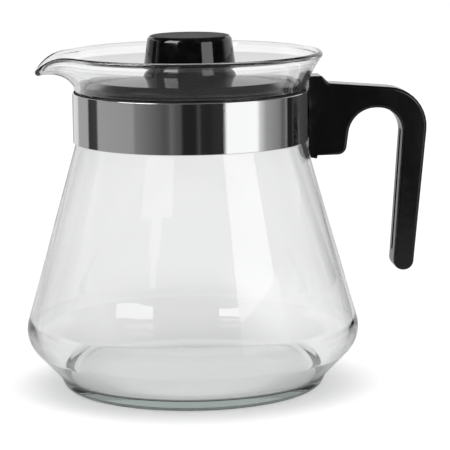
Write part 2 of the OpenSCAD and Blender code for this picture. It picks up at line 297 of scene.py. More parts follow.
class Forms:
    """Geometry Nodes trees that make the turned pieces, the screws and the bent band."""

    SHARED = [Plug("Geometry", "Geometry"), Plug("Geometry", "Geometry", True)]
    FINISH = Plug("Material", "Material")
    MERGE = 1e-6
    HEAD_SEGMENTS = 48
    HEAD_OVERLAP = 0.3
    SHANK_SEGMENTS = 40
    ROWS_PER_TURN = 10
    TIP_LENGTH = 0.0012
    FILLET_STEPS = 4
    EAR_STEP = 0.0004
    DRILL_SEGMENTS = 48
    DRILL_LENGTH = 0.03

    def __init__(self) -> None:
        """Builds each tree once."""
        self.turned = self.turned_form()
        self.screw = self.threaded_screw()
        self.strip = self.bent_strip()

    def turned_form(self) -> Tree:
        """Turns profile points round the Z axis and pulls them out along the pouring lip.

        Returns:
            The tree. Its geometry input holds the profile as loose points, x being the radius.
        """
        counts = [Plug("Profile Points", "Int"), Plug("Segments", "Int")]
        plugs = [*self.SHARED, *counts, *floats(*NO_LIP), self.FINISH]
        w, given, result = new_tree("turned_form", "GeometryNodeTree", plugs)
        columns = w.math("ADD", given["Segments"], 1)
        sides = {"Vertices X": given["Profile Points"], "Vertices Y": columns}
        grid = w.out("GeometryNodeMeshGrid", sides)
        index = w.out("GeometryNodeInputIndex")
        row = w.whole("DIVIDE_FLOOR", index, columns)
        column = w.whole("MODULO", index, columns)
        place = w.separate(self.sample(w, given, row, w.out("GeometryNodeInputPosition")))
        pull = w.separate(self.sample(w, given, row, self.stored(w, "lip_pull")))
        bow = w.separate(self.sample(w, given, row, self.stored(w, "lip_bow")))
        turn = w.math("SUBTRACT", w.math("DIVIDE", column, given["Segments"]), 0.5)
        angle = w.times(turn, 2 * math.pi)
        share = self.lip_share(w, given, angle)
        square = w.times(share, share)
        pulled = [w.math("MULTIPLY_ADD", move, share, start) for move, start in zip(pull, place)]
        bowed = [w.math("MULTIPLY_ADD", move, square, start) for move, start in zip(bow, pulled)]
        radius, _, height = bowed
        ways = [w.times(w.math(kind, angle), -1) for kind in ("COSINE", "SINE")]
        x, y = (w.times(radius, way) for way in ways)
        moved = {"Geometry": grid, "Position": w.vector(x, y, height)}
        turned = w.out("GeometryNodeSetPosition", moved)
        closed = w.out("GeometryNodeMergeByDistance", {"Geometry": turned, "Distance": self.MERGE})
        self.end(w, given, result, closed)
        return w.tree

    def threaded_screw(self) -> Tree:
        """Makes a screw: a turned head with a cross recess on a shank with a helical thread.

        Returns:
            The tree. Its geometry input holds the head's profile; the head sits on z = 0.
        """
        sizes = floats("Shank Radius", "Shank Length", "Pitch", "Thread Depth", "Head Height",
                       "Recess Reach", "Recess Width", "Recess Depth")
        plugs = [*self.SHARED, Plug("Profile Points", "Int"), *sizes, self.FINISH]
        w, given, result = new_tree("threaded_screw", "GeometryNodeTree", plugs)
        length, pitch = given["Shank Length"], given["Pitch"]
        radius, depth = given["Shank Radius"], given["Thread Depth"]
        shared = {name: given[name] for name in ("Geometry", "Profile Points")}
        feeds = {**shared, "Segments": self.HEAD_SEGMENTS, **NO_LIP}
        head = w.add("GeometryNodeGroup", feeds, node_tree=self.turned)
        sunk = w.times(given["Head Height"], self.HEAD_OVERLAP)
        whole = w.math("ADD", length, sunk)
        rows = w.times(w.math("DIVIDE", whole, pitch), self.ROWS_PER_TURN)
        feeds = {"Vertices": self.SHANK_SEGMENTS, "Side Segments": rows, "Radius": radius, "Depth": whole}
        rod = w.out("GeometryNodeMeshCylinder", feeds)
        drop = w.math("SUBTRACT", sunk, w.times(whole, 0.5))
        low = w.out("GeometryNodeTransform", {"Geometry": rod, "Translation": w.vector(z=drop)})
        x, y, z = w.separate(w.out("GeometryNodeInputPosition"))
        turns = w.math("DIVIDE", w.math("ARCTAN2", y, x), 2 * math.pi)
        phase = w.math("SUBTRACT", w.math("DIVIDE", z, pitch), turns)
        valley = w.math("PINGPONG", phase, 0.5)
        tip = w.ramp(w.math("ADD", z, length), 0, self.TIP_LENGTH, 1, 0)
        cut = w.times(depth, w.math("MAXIMUM", w.times(valley, 2), tip))
        keep = w.math("SUBTRACT", 1, w.math("DIVIDE", cut, radius))
        spot = w.vector(w.times(x, keep), w.times(y, keep), z)
        thread = w.out("GeometryNodeSetPosition", {"Geometry": low, "Position": spot})
        body = w.add("GeometryNodeMeshBoolean", operation="UNION")
        w.feed(body.inputs["Mesh 2"], head.outputs[0])
        w.feed(body.inputs["Mesh 2"], thread)
        reach = w.times(given["Recess Reach"], 2)
        deep = w.times(given["Recess Depth"], 2)
        wide = given["Recess Width"]
        lift = w.vector(z=given["Head Height"])
        cross = w.add("GeometryNodeMeshBoolean", operation="DIFFERENCE")
        w.feed(cross.inputs["Mesh 1"], body.outputs[0])
        for sides in ((reach, wide), (wide, reach)):
            bar = w.out("GeometryNodeMeshCube", {"Size": w.vector(*sides, deep)})
            raised = w.out("GeometryNodeTransform", {"Geometry": bar, "Translation": lift})
            w.feed(cross.inputs["Mesh 2"], raised)
        self.end(w, given, result, cross.outputs[0])
        return w.tree

    def bent_strip(self) -> Tree:
        """Bends a sheet strip along a path, narrows its ends to ears and drills them.

        Returns:
            The tree. Its geometry input holds the path as a curve, in the plane of the strip's mid-height.
        """
        sizes = floats("Thickness", "Height", "Edge Round", "Ear Height", "Ear Start", "Middle",
                       "Hole Radius", "Hole Place")
        w, given, result = new_tree("bent_strip", "GeometryNodeTree", [*self.SHARED, *sizes, self.FINISH])
        feeds = {"Width": given["Thickness"], "Height": given["Height"]}
        sheet = w.out("GeometryNodeCurvePrimitiveQuadrilateral", feeds)
        feeds = {"Curve": sheet, "Radius": given["Edge Round"], "Count": self.FILLET_STEPS}
        eased = w.out("GeometryNodeFilletCurve", feeds, mode="POLY")
        level = w.out("GeometryNodeSetCurveNormal", {"Curve": given["Geometry"]}, mode="Z_UP")
        feeds = {"Curve": level, "Profile Curve": eased, "Fill Caps": True}
        swept = w.out("GeometryNodeCurveToMesh", feeds)
        x, y, z = w.separate(w.out("GeometryNodeInputPosition"))
        narrow = w.math("DIVIDE", given["Ear Height"], given["Height"])
        full = w.math("ADD", given["Ear Start"], self.EAR_STEP)
        past = w.out("ShaderNodeMapRange", {0: x, 1: given["Ear Start"], 2: full, 3: 1.0, 4: narrow})
        away = w.math("SUBTRACT", z, given["Middle"])
        tall = w.math("MULTIPLY_ADD", away, past, given["Middle"])
        feeds = {"Geometry": swept, "Position": w.vector(x, y, tall)}
        eared = w.out("GeometryNodeSetPosition", feeds)
        feeds = {"Vertices": self.DRILL_SEGMENTS, "Radius": given["Hole Radius"], "Depth": self.DRILL_LENGTH}
        drill = w.out("GeometryNodeMeshCylinder", feeds)
        where = w.vector(given["Hole Place"], z=given["Middle"])
        feeds = {"Geometry": drill, "Translation": where, "Rotation": (math.pi / 2, 0, 0)}
        across = w.out("GeometryNodeTransform", feeds)
        drilled = w.add("GeometryNodeMeshBoolean", operation="DIFFERENCE")
        w.feed(drilled.inputs["Mesh 1"], eared)
        w.feed(drilled.inputs["Mesh 2"], across)
        self.end(w, given, result, drilled.outputs[0])
        return w.tree

    @staticmethod
    def sample(w: Wiring, given: Sockets, row: Socket, value: Socket) -> Socket:
        """Reads a vector from one point of the profile.

        Args:
            w: The tree's wiring.
            given: The tree's inputs.
            row: Place of the point in the profile.
            value: The vector to read there.

        Returns:
            The vector.
        """
        feeds = {"Geometry": given["Geometry"], "Index": row, "Value": value}
        return w.out("GeometryNodeSampleIndex", feeds, data_type="FLOAT_VECTOR", domain="POINT")

    @staticmethod
    def stored(w: Wiring, name: str) -> Socket:
        """Gives a vector that is stored on the profile's points."""
        return w.out("GeometryNodeInputNamedAttribute", {"Name": name}, data_type="FLOAT_VECTOR")

    @staticmethod
    def lip_share(w: Wiring, given: Sockets, angle: Socket) -> Socket:
        """Gives the share of the pouring lip at an angle: straight sides in plan and a round tip.

        Args:
            w: The tree's wiring.
            given: The tree's inputs, with the lip's sizes.
            angle: Angle from the lip's middle.

        Returns:
            The share, 1 at the tip and 0 outside the lip.
        """
        spread, tip = given["Lip Spread"], given["Lip Round"]
        rim, reach = given["Rim Radius"], given["Lip Reach"]

        def eased(value: Socket) -> Socket:
            """Rounds the foot of a straight rise."""
            squares = w.math("MULTIPLY_ADD", value, value, w.times(tip, tip))
            return w.math("SUBTRACT", w.math("SQRT", squares), tip)

        run = w.math("DIVIDE", w.times(spread, eased(angle)), eased(spread))
        slant = w.math("DIVIDE", rim, w.math("COSINE", w.math("SUBTRACT", spread, run)))
        share = w.math("DIVIDE", w.math("SUBTRACT", slant, rim), reach)
        inside = w.math("LESS_THAN", w.math("ABSOLUTE", angle), spread)
        return w.times(share, inside)

    @staticmethod
    def end(w: Wiring, given: Sockets, result: Sockets, mesh: Socket) -> None:
        """Closes a tree: plain mesh, smooth faces, one material.

        Args:
            w: The tree's wiring.
            given: The tree's inputs.
            result: The tree's outputs.
            mesh: The finished mesh.
        """
        smooth = w.out("GeometryNodeSetShadeSmooth", {"Geometry": mesh})
        plain = w.out("GeometryNodeRealizeInstances", {"Geometry": smooth})
        feeds = {"Geometry": plain, "Material": given["Material"]}
        w.feed(result[0], w.out("GeometryNodeSetMaterial", feeds))


# Making plain meshes


def link(name: str, data: bpy.types.ID) -> Item:
    """Puts new object data into the scene.

    Args:
        name: The object's name.
        data: Its mesh, curve, light or camera.

    Returns:
        The object.
    """
    made = bpy.data.objects.new(name, data)
    bpy.context.scene.collection.objects.link(made)
    return made


def settle(host: Item, name: str) -> Item:
    """Turns an object with modifiers into a plain mesh of its own and drops the host.

    Args:
        host: The object whose result is wanted.
        name: Name of the plain piece.

    Returns:
        The plain piece, at the origin.
    """
    graph = bpy.context.evaluated_depsgraph_get()
    made = host.evaluated_get(graph)
    mesh = bpy.data.meshes.new_from_object(made, preserve_all_data_layers=True, depsgraph=graph)
    bpy.data.objects.remove(host)
    mesh.name = name
    return link(name, mesh)


def grow(name: str, host: Item, tree: Tree, values: dict[str, object]) -> Item:
    """Runs a Geometry Nodes tree on a host object.

    Args:
        name: Name of the piece.
        host: Object that holds the profile or the path.
        tree: The tree to run.
        values: The tree's inputs, by name.

    Returns:
        The piece as a plain mesh.
    """
    modifier = host.modifiers.new("form", "NODES")
    modifier.node_group = tree
    plugs = [plug for plug in tree.interface.items_tree if plug.item_type == "SOCKET"]
    keys = {plug.name: plug.identifier for plug in plugs if plug.in_out == "INPUT"}
    for label, value in values.items():
        modifier[keys[label]] = value
    return settle(host, name)


def profile_host(points: Points, pull: np.ndarray | None = None, bow: np.ndarray | None = None) -> Item:
    """Lays out a profile as loose points for a turned piece.

    Args:
        points: Profile points as radius and height, in millimetres.
        pull: How far each point moves with the lip's share.
        bow: How far each point moves with the square of that share.

    Returns:
        An object that holds the points, in metres.
    """
    mesh = bpy.data.meshes.new("profile")
    mesh.from_pydata([(p[0] * MM, 0, p[1] * MM) for p in points], [], [])
    for name, moves in (("lip_pull", pull), ("lip_bow", bow)):
        layer = mesh.attributes.new(name, "FLOAT_VECTOR", "POINT")
        if moves is not None:
            flat = np.zeros((len(points), 3), np.float32)
            flat[:, 0] = moves[:, 0] * MM
            flat[:, 2] = moves[:, 1] * MM
            layer.data.foreach_set("vector", flat.ravel())
    return link("profile", mesh)


def face_out(piece: Item) -> Item:
    """Turns a closed piece's faces outwards if they point in.

    Args:
        piece: The piece.

    Returns:
        The same piece.
    """
    work = bmesh.new()
    work.from_mesh(piece.data)
    if work.calc_volume(signed=True) < 0:
        bmesh.ops.reverse_faces(work, faces=work.faces)
        work.to_mesh(piece.data)
    work.free()
    return piece


def crease(piece: Item, degrees: float) -> Item:
    """Keeps sharp edges sharp in the shading and lets large faces lead it, so that flats stay flat.

    Args:
        piece: The piece.
        degrees: Turn of the surface from which an edge counts as sharp.

    Returns:
        The piece, as a new plain mesh.
    """
    piece.data.set_sharp_from_angle(angle=math.radians(degrees))
    even = piece.modifiers.new("even", "WEIGHTED_NORMAL")
    even.keep_sharp = True
    return settle(piece, piece.name)


def box(name: str, low: Corner, high: Corner) -> Item:
    """Makes a box for a cut.

    Args:
        name: The box's name.
        low: Its lowest corner in millimetres.
        high: Its highest corner in millimetres.

    Returns:
        The box.
    """
    mesh = bpy.data.meshes.new(name)
    work = bmesh.new()
    bmesh.ops.create_cube(work, size=1)
    for vert in work.verts:
        vert.co = Vector([(h if c > 0 else l) * MM for c, l, h in zip(vert.co, low, high)])
    work.to_mesh(mesh)
    work.free()
    return link(name, mesh)


def prism(name: str, outline: Points, half: float) -> Item:
    """Makes an upright prism across Y for a cut.

    Args:
        name: The prism's name.
        outline: Its outline as x and z, in millimetres.
        half: Half of its width along Y.

    Returns:
        The prism.
    """
    mesh = bpy.data.meshes.new(name)
    count = len(outline)
    verts = [(p[0] * MM, side * half * MM, p[1] * MM) for side in (-1, 1) for p in outline]
    faces = [list(range(count)), list(range(2 * count - 1, count - 1, -1))]
    faces += [[(i + 1) % count, i, i + count, (i + 1) % count + count] for i in range(count)]
    mesh.from_pydata(verts, [], faces)
    return face_out(link(name, mesh))


def cut_away(piece: Item, cutters: list[Item], name: str) -> Item:
    """Cuts other solids out of a piece.

    Args:
        piece: The piece to cut.
        cutters: The solids, which are used up.
        name: Name of the result.

    Returns:
        The cut piece.
    """
    for cutter in cutters:
        step = piece.modifiers.new(cutter.name, "BOOLEAN")
        step.operation = "DIFFERENCE"
        step.solver = "EXACT"
        step.object = cutter
    made = settle(piece, name)
    for cutter in cutters:
        bpy.data.objects.remove(cutter)
    return made


# Finishes


class Effects:
    """Shader node groups that several finishes share."""

    PLACE = Plug("Vector", "Vector")
    MASK = Plug("Mask", "Float", True)
    FINE_SCALE = 9
    CLOUD_SCALE = 0.4
    CLOUD_SPAN = (0.3, 0.7)
    PATCH_ROUGH = 0.6
    WIPE_TURN = (0.3, 0.2, 0.6)
    WIPE_STRETCH = (1, 1, 5)
    WIPE_SCALE = 3
    MARK_LIMIT = 0.5
    MARK_COVER = 0.35
    MARK_SOFT = 0.18
    LINE_TURN = 0.02
    LINE_DRIFT = 0.01
    LINE_STRETCH = (60, 1, 1)
    LINE_ROUGH = 0.7
    LINE_SPAN = (0.5, 0.75)
    RUB_ROUGH = 0.65
    RUB_SPAN = (0.42, 0.68)
    RUB_LEAST = 0.15

    def __init__(self) -> None:
        """Builds each group once."""
        self.grain = self.moulded_grain()
        self.marks = self.hand_marks()
        self.hairlines = self.fine_hairlines()
        self.edges = self.worn_edges()

    @staticmethod
    def noise(w: Wiring, vector: Socket, scale: object, detail: float, rough: float = 0.5) -> Socket:
        """Adds a noise.

        Args:
            w: The wiring.
            vector: Where to read it.
            scale: Its scale.
            detail: Its octaves.
            rough: Weight of the fine octaves.

        Returns:
            The noise's value.
        """
        feeds = {"Vector": vector, "Scale": scale, "Detail": detail, "Roughness": rough}
        return w.out("ShaderNodeTexNoise", feeds)

    def moulded_grain(self) -> Tree:
        """Makes the faint orange-peel and grain of a moulded or fired surface.

        Returns:
            The group.
        """
        results = [Plug("Height", "Float", True), Plug("Mottle", "Float", True)]
        plugs = [self.PLACE, *floats("Scale", "Fine Share"), *results]
        w, given, result = new_tree("moulded_grain", "ShaderNodeTree", plugs)
        vector, scale = given["Vector"], given["Scale"]
        broad = self.noise(w, vector, scale, 2)
        fine = self.noise(w, vector, w.times(scale, self.FINE_SCALE), 1)
        w.feed(result["Height"], w.math("MULTIPLY_ADD", fine, given["Fine Share"], broad))
        cloud = self.noise(w, vector, w.times(scale, self.CLOUD_SCALE), 3)
        w.feed(result["Mottle"], w.ramp(cloud, *self.CLOUD_SPAN, 0, 1))
        return w.tree

    def hand_marks(self) -> Tree:
        """Makes the patchy film that wiping and handling leave on a gloss surface.

        Returns:
            The group.
        """
        plugs = [self.PLACE, *floats("Scale", "Cover"), self.MASK]
        w, given, result = new_tree("hand_marks", "ShaderNodeTree", plugs)
        vector, scale = given["Vector"], given["Scale"]
        patch = self.noise(w, vector, scale, 4, self.PATCH_ROUGH)
        slant = {"Vector": vector, "Rotation": self.WIPE_TURN, "Scale": self.WIPE_STRETCH}
        wipe = w.out("ShaderNodeMapping", slant)
        streak = self.noise(w, wipe, w.times(scale, self.WIPE_SCALE), 3)
        level = w.times(patch, streak)
        limit = w.math("SUBTRACT", self.MARK_LIMIT, w.times(given["Cover"], self.MARK_COVER))
        full = w.math("ADD", limit, self.MARK_SOFT)
        w.feed(result["Mask"], w.ramp(level, limit, full, 0, 1))
        return w.tree

    def fine_hairlines(self) -> Tree:
        """Makes the hairlines that run round a polished or turned piece.

        Returns:
            The group.
        """
        plugs = [self.PLACE, *floats("Lines"), self.MASK]
        w, given, result = new_tree("fine_hairlines", "ShaderNodeTree", plugs)
        x, y, z = w.separate(given["Vector"])
        angle = w.times(w.math("ARCTAN2", y, x), self.LINE_TURN)
        drift = w.math("MULTIPLY_ADD", angle, self.LINE_DRIFT, z)
        feeds = {0: w.vector(angle, drift), 1: self.LINE_STRETCH}
        stretch = w.out("ShaderNodeVectorMath", feeds, operation="MULTIPLY")
        line = self.noise(w, stretch, given["Lines"], 2, self.LINE_ROUGH)
        w.feed(result["Mask"], w.ramp(line, *self.LINE_SPAN, 0, 1))
        return w.tree

    def worn_edges(self) -> Tree:
        """Breaks up an edge mask so that the wear along edges looks uneven.

        Returns:
            The group.
        """
        plugs = [self.PLACE, *floats("Edge", "Scale"), self.MASK]
        w, given, result = new_tree("worn_edges", "ShaderNodeTree", plugs)
        rub = self.noise(w, given["Vector"], given["Scale"], 4, self.RUB_ROUGH)
        uneven = w.ramp(rub, *self.RUB_SPAN, self.RUB_LEAST, 1)
        w.feed(result["Mask"], w.times(given["Edge"], uneven))
        return w.tree


class Look:
    """A material that is being built."""

    def __init__(self, name: str) -> None:
        """Starts the material with its main shader.

        Args:
            name: The material's name.
        """
        self.made = bpy.data.materials.new(name)
        self.made.use_nodes = True
        self.made.node_tree.nodes.clear()
        self.w = Wiring(self.made.node_tree)
        self.shader = self.w.add("ShaderNodeBsdfPrincipled")
        self.output = self.w.add("ShaderNodeOutputMaterial", {"Surface": self.shader.outputs[0]})
        self.where = self.w.add("ShaderNodeTexCoord").outputs["Object"]

    def set(self, **values: object) -> None:
        """Sets the main shader's inputs, with underscores for the spaces in their names."""
        for name, value in values.items():
            self.w.feed(self.shader.inputs[name.replace("_", " ")], value)

    def end(self, surface: Socket) -> None:
        """Takes another surface in place of the main shader."""
        self.w.feed(self.output.inputs["Surface"], surface)

    def effect(self, group: Tree, feeds: dict[str, object]) -> Node:
        """Places a shared effect in the material."""
        return self.w.add("ShaderNodeGroup", {"Vector": self.where, **feeds}, node_tree=group)

    def bump(self, height: Socket, strength: float, depth: float) -> None:
        """Gives the main shader a relief, its depth in metres."""
        feeds = {"Strength": strength, "Distance": depth, "Height": height}
        self.set(Normal=self.w.out("ShaderNodeBump", feeds))


@dataclass(frozen=True)
class Fade:
    """A smooth change of level between two places, in metres."""

    start: float
    end: float
    level_start: float
    level_end: float

    def along(self, w: Wiring, value: Socket) -> Socket:
        """Wires the change along a value."""
        return w.ramp(value, self.start, self.end, self.level_start, self.level_end)


@dataclass(frozen=True)
class Layer:
    """One shared effect on a finish, and what it does to the finish's colour, roughness and relief."""

    INPUTS = {"grain": ("Scale", "Fine Share"), "marks": ("Scale", "Cover"), "hairlines": ("Lines",),
              "edges": ("Scale",)}

    kind: str
    values: tuple[float, ...]
    rough: float = 0.0
    colour: Colour | None = None
    share: float = 1.0
    relief: bool = False

    def lay(self, look: Look, effects: Effects) -> tuple[Socket, Socket]:
        """Places the effect in a material.

        Args:
            look: The material that is being built.
            effects: The shared effects.

        Returns:
            The effect's mask and its height.
        """
        feeds: dict[str, object] = dict(zip(self.INPUTS[self.kind], self.values))
        if self.kind == "edges":
            feeds["Edge"] = look.w.add("ShaderNodeAttribute", attribute_name="edge").outputs["Fac"]
        made = look.effect(getattr(effects, self.kind), feeds).outputs
        return made["Mottle" if self.kind == "grain" else "Mask"], made[0]


@dataclass(frozen=True)
class GlassBody:
    """What makes a finish clear: how it bends light, the tint in its thickness and the shade it throws."""

    ior: float
    tint: Colour
    density: float
    shade: Colour

    def fill(self, look: Look) -> None:
        """Makes a material clear.

        Args:
            look: The material that is being built.
        """
        w = look.w
        look.set(IOR=self.ior, Transmission_Weight=1)
        clear = w.out("ShaderNodeBsdfTransparent", {"Color": (*self.shade, 1)})
        shadow = w.add("ShaderNodeLightPath").outputs["Is Shadow Ray"]
        look.end(w.out("ShaderNodeMixShader", {0: shadow, 1: look.shader.outputs[0], 2: clear}))
        body = w.out("ShaderNodeVolumeAbsorption", {"Color": (*self.tint, 1), "Density": self.density})
        w.feed(look.output.inputs["Volume"], body)


@dataclass(frozen=True)
class Finish:
    """The finish of one slot: a plain surface with layers on it, from the lowest up."""

    slot: Slot
    colour: Colour
    rough: float
    relief: float
    relief_depth: float
    layers: tuple[Layer, ...]
    metal: bool = False
    satin: Fade | None = None
    glass: GlassBody | None = None

    def material(self, effects: Effects) -> Material:
        """Builds the finish.

        Args:
            effects: The shared effects.

        Returns:
            The material.
        """
        look = Look(self.slot.value)
        w = look.w
        colour: object = (*self.colour, 1)
        rough: object = self.rough
        for layer in self.layers:
            mask, height = layer.lay(look, effects)
            if layer.colour:
                colour = w.blend(w.times(mask, layer.share), colour, (*layer.colour, 1))
            if layer.rough:
                rough = w.math("MULTIPLY_ADD", mask, layer.rough, rough)
            if layer.relief:
                look.bump(height, self.relief, self.relief_depth)
        if self.satin:
            rough = w.math("ADD", self.satin.along(w, w.separate(look.where)[2]), rough)
        look.set(Base_Color=colour, Roughness=rough, Metallic=float(self.metal))
        if self.glass:
            self.glass.fill(look)
        return look.made


MOTTLE_LIFT = 1.5
BLACK_RELIEF = 0.25


def moulded_black(slot: Slot, colour: Colour, worn: Colour, gloss: float, film: float, grain: float,
                  depth: float, satin: Fade | None = None) -> Finish:
    """Describes black moulded plastic, with grain, film and rubbed edges.

    Args:
        slot: Its slot.
        colour: Its colour.
        worn: Its colour along rubbed edges.
        gloss: Its roughness where it is clean.
        film: What the film of handling adds to that.
        grain: Scale of its grain.
        depth: Depth of its grain in metres.
        satin: What a satin part adds to its roughness, along the height.

    Returns:
        The finish.
    """
    pale = tuple(part * MOTTLE_LIFT for part in colour)
    layers = (Layer("marks", (30.0, 0.45), rough=film),
              Layer("grain", (grain, 0.15), rough=0.04, colour=pale, share=0.35, relief=True),
              Layer("edges", (220.0,), colour=worn))
    return Finish(slot, colour, gloss, BLACK_RELIEF, depth, layers, satin=satin)


FINISHES = (
    Finish(Slot.GLASS, colour=(1, 1, 1), rough=0, relief=0.04, relief_depth=0.001,
           layers=(Layer("marks", (26.0, 0.35), rough=0.03), Layer("grain", (34.0, 0.02), relief=True)),
           glass=GlassBody(ior=1.48, tint=(0.6, 0.65, 0.635), density=22.0, shade=(0.82, 0.828, 0.826))),
    Finish(Slot.STEEL, colour=(0.785, 0.79, 0.79), rough=0.03, relief=0.02, relief_depth=0.0002, metal=True,
           layers=(Layer("hairlines", (1500.0,), rough=0.03, relief=True),
                   Layer("marks", (40.0, 0.4), rough=0.05, colour=(0.7, 0.7, 0.69)))),
    Finish(Slot.LINER, colour=(0.022, 0.022, 0.024), rough=0.62, relief=0.3, relief_depth=0.0002,
           layers=(Layer("grain", (420.0, 0.5), rough=0.12, relief=True),
                   Layer("marks", (70.0, 0.3), colour=(0.06, 0.06, 0.06)))),
    Finish(Slot.FASTENER, colour=(0.62, 0.63, 0.64), rough=0.24, relief=0.15, relief_depth=0.0001, metal=True,
           layers=(Layer("grain", (600.0, 0.3), rough=0.12, colour=(0.42, 0.42, 0.4), relief=True),
                   Layer("hairlines", (2600.0,), rough=0.15))),
    moulded_black(Slot.HANDLE, colour=(0.0035, 0.0035, 0.004), worn=(0.03, 0.03, 0.032),
                  gloss=0.14, film=0.08, grain=260.0, depth=0.00015),
    moulded_black(Slot.LID, colour=(0.01, 0.0103, 0.011), worn=(0.04, 0.04, 0.043),
                  gloss=0.07, film=0.06, grain=180.0, depth=0.0001),
    moulded_black(Slot.KNOB, colour=(0.0012, 0.0012, 0.0013), worn=(0.012, 0.012, 0.013),
                  gloss=0.05, film=0.03, grain=180.0, depth=0.00005, satin=Fade(0.1579, 0.1584, 0, 0.47)),
)


class Workshop:
    """The forms and finishes that the pieces are made with."""

    def __init__(self) -> None:
        """Builds the forms, and each finish once."""
        effects = Effects()
        self.finish = {finish.slot: finish.material(effects) for finish in FINISHES}
        self.forms = Forms()

    def turn(self, name: str, points: Points, slot: Slot | None = None,
             segments: int = TURN_SEGMENTS) -> Item:
        """Turns a plain round piece.

        Args:
            name: Name of the piece.
            points: Profile in millimetres, in order round the section's outside.
            slot: The slot of its finish, if it has one.
            segments: Number of steps round the axis.

        Returns:
            The piece.
        """
        finish = self.finish[slot] if slot else None
        values = {"Profile Points": len(points), "Segments": segments, **NO_LIP, "Material": finish}
        return face_out(grow(name, profile_host(points), self.forms.turned, values))


def hand_over(piece: Item, body: Body, slot: Slot, node: str) -> Item:
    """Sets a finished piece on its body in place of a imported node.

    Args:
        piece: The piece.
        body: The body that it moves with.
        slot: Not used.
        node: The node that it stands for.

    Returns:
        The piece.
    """
    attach(piece, body.value)
    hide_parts(node)
    LOG.info("%s stands for %s: %d faces", piece.name, node, len(piece.data.polygons))
    return piece


def mark_edges(piece: Item, degrees: float, reach: float) -> None:
    """Stores how close each point is to an outward edge, for the wear in its finish.

    Args:
        piece: The piece.
        degrees: Turn of the surface that counts as an edge.
        reach: Distance in millimetres over which the wear fades.
    """
    work = bmesh.new()
    work.from_mesh(piece.data)
    limit = math.radians(degrees)
    sharp = [e for e in work.edges if len(e.link_faces) == 2 and e.calc_face_angle_signed(0) > limit]
    level = {v.index: 1.0 for e in sharp for v in e.verts}
    for e in work.edges:
        for a, b in (e.verts, reversed(e.verts)):
            if level.get(a.index) == 1.0 and b.index not in level:
                level[b.index] = max(0.0, 1 - e.calc_length() / (reach * MM)) * WEAR_BESIDE
    values = np.array([level.get(i, 0.0) for i in range(len(work.verts))], np.float32)
    layer = piece.data.attributes.new("edge", "FLOAT", "POINT")
    layer.data.foreach_set("value", values)
    work.free()


# Sub-assemblies


@dataclass
class Assembly:
    """A sub-assembly, with the workshop that makes its pieces."""

    shop: Workshop


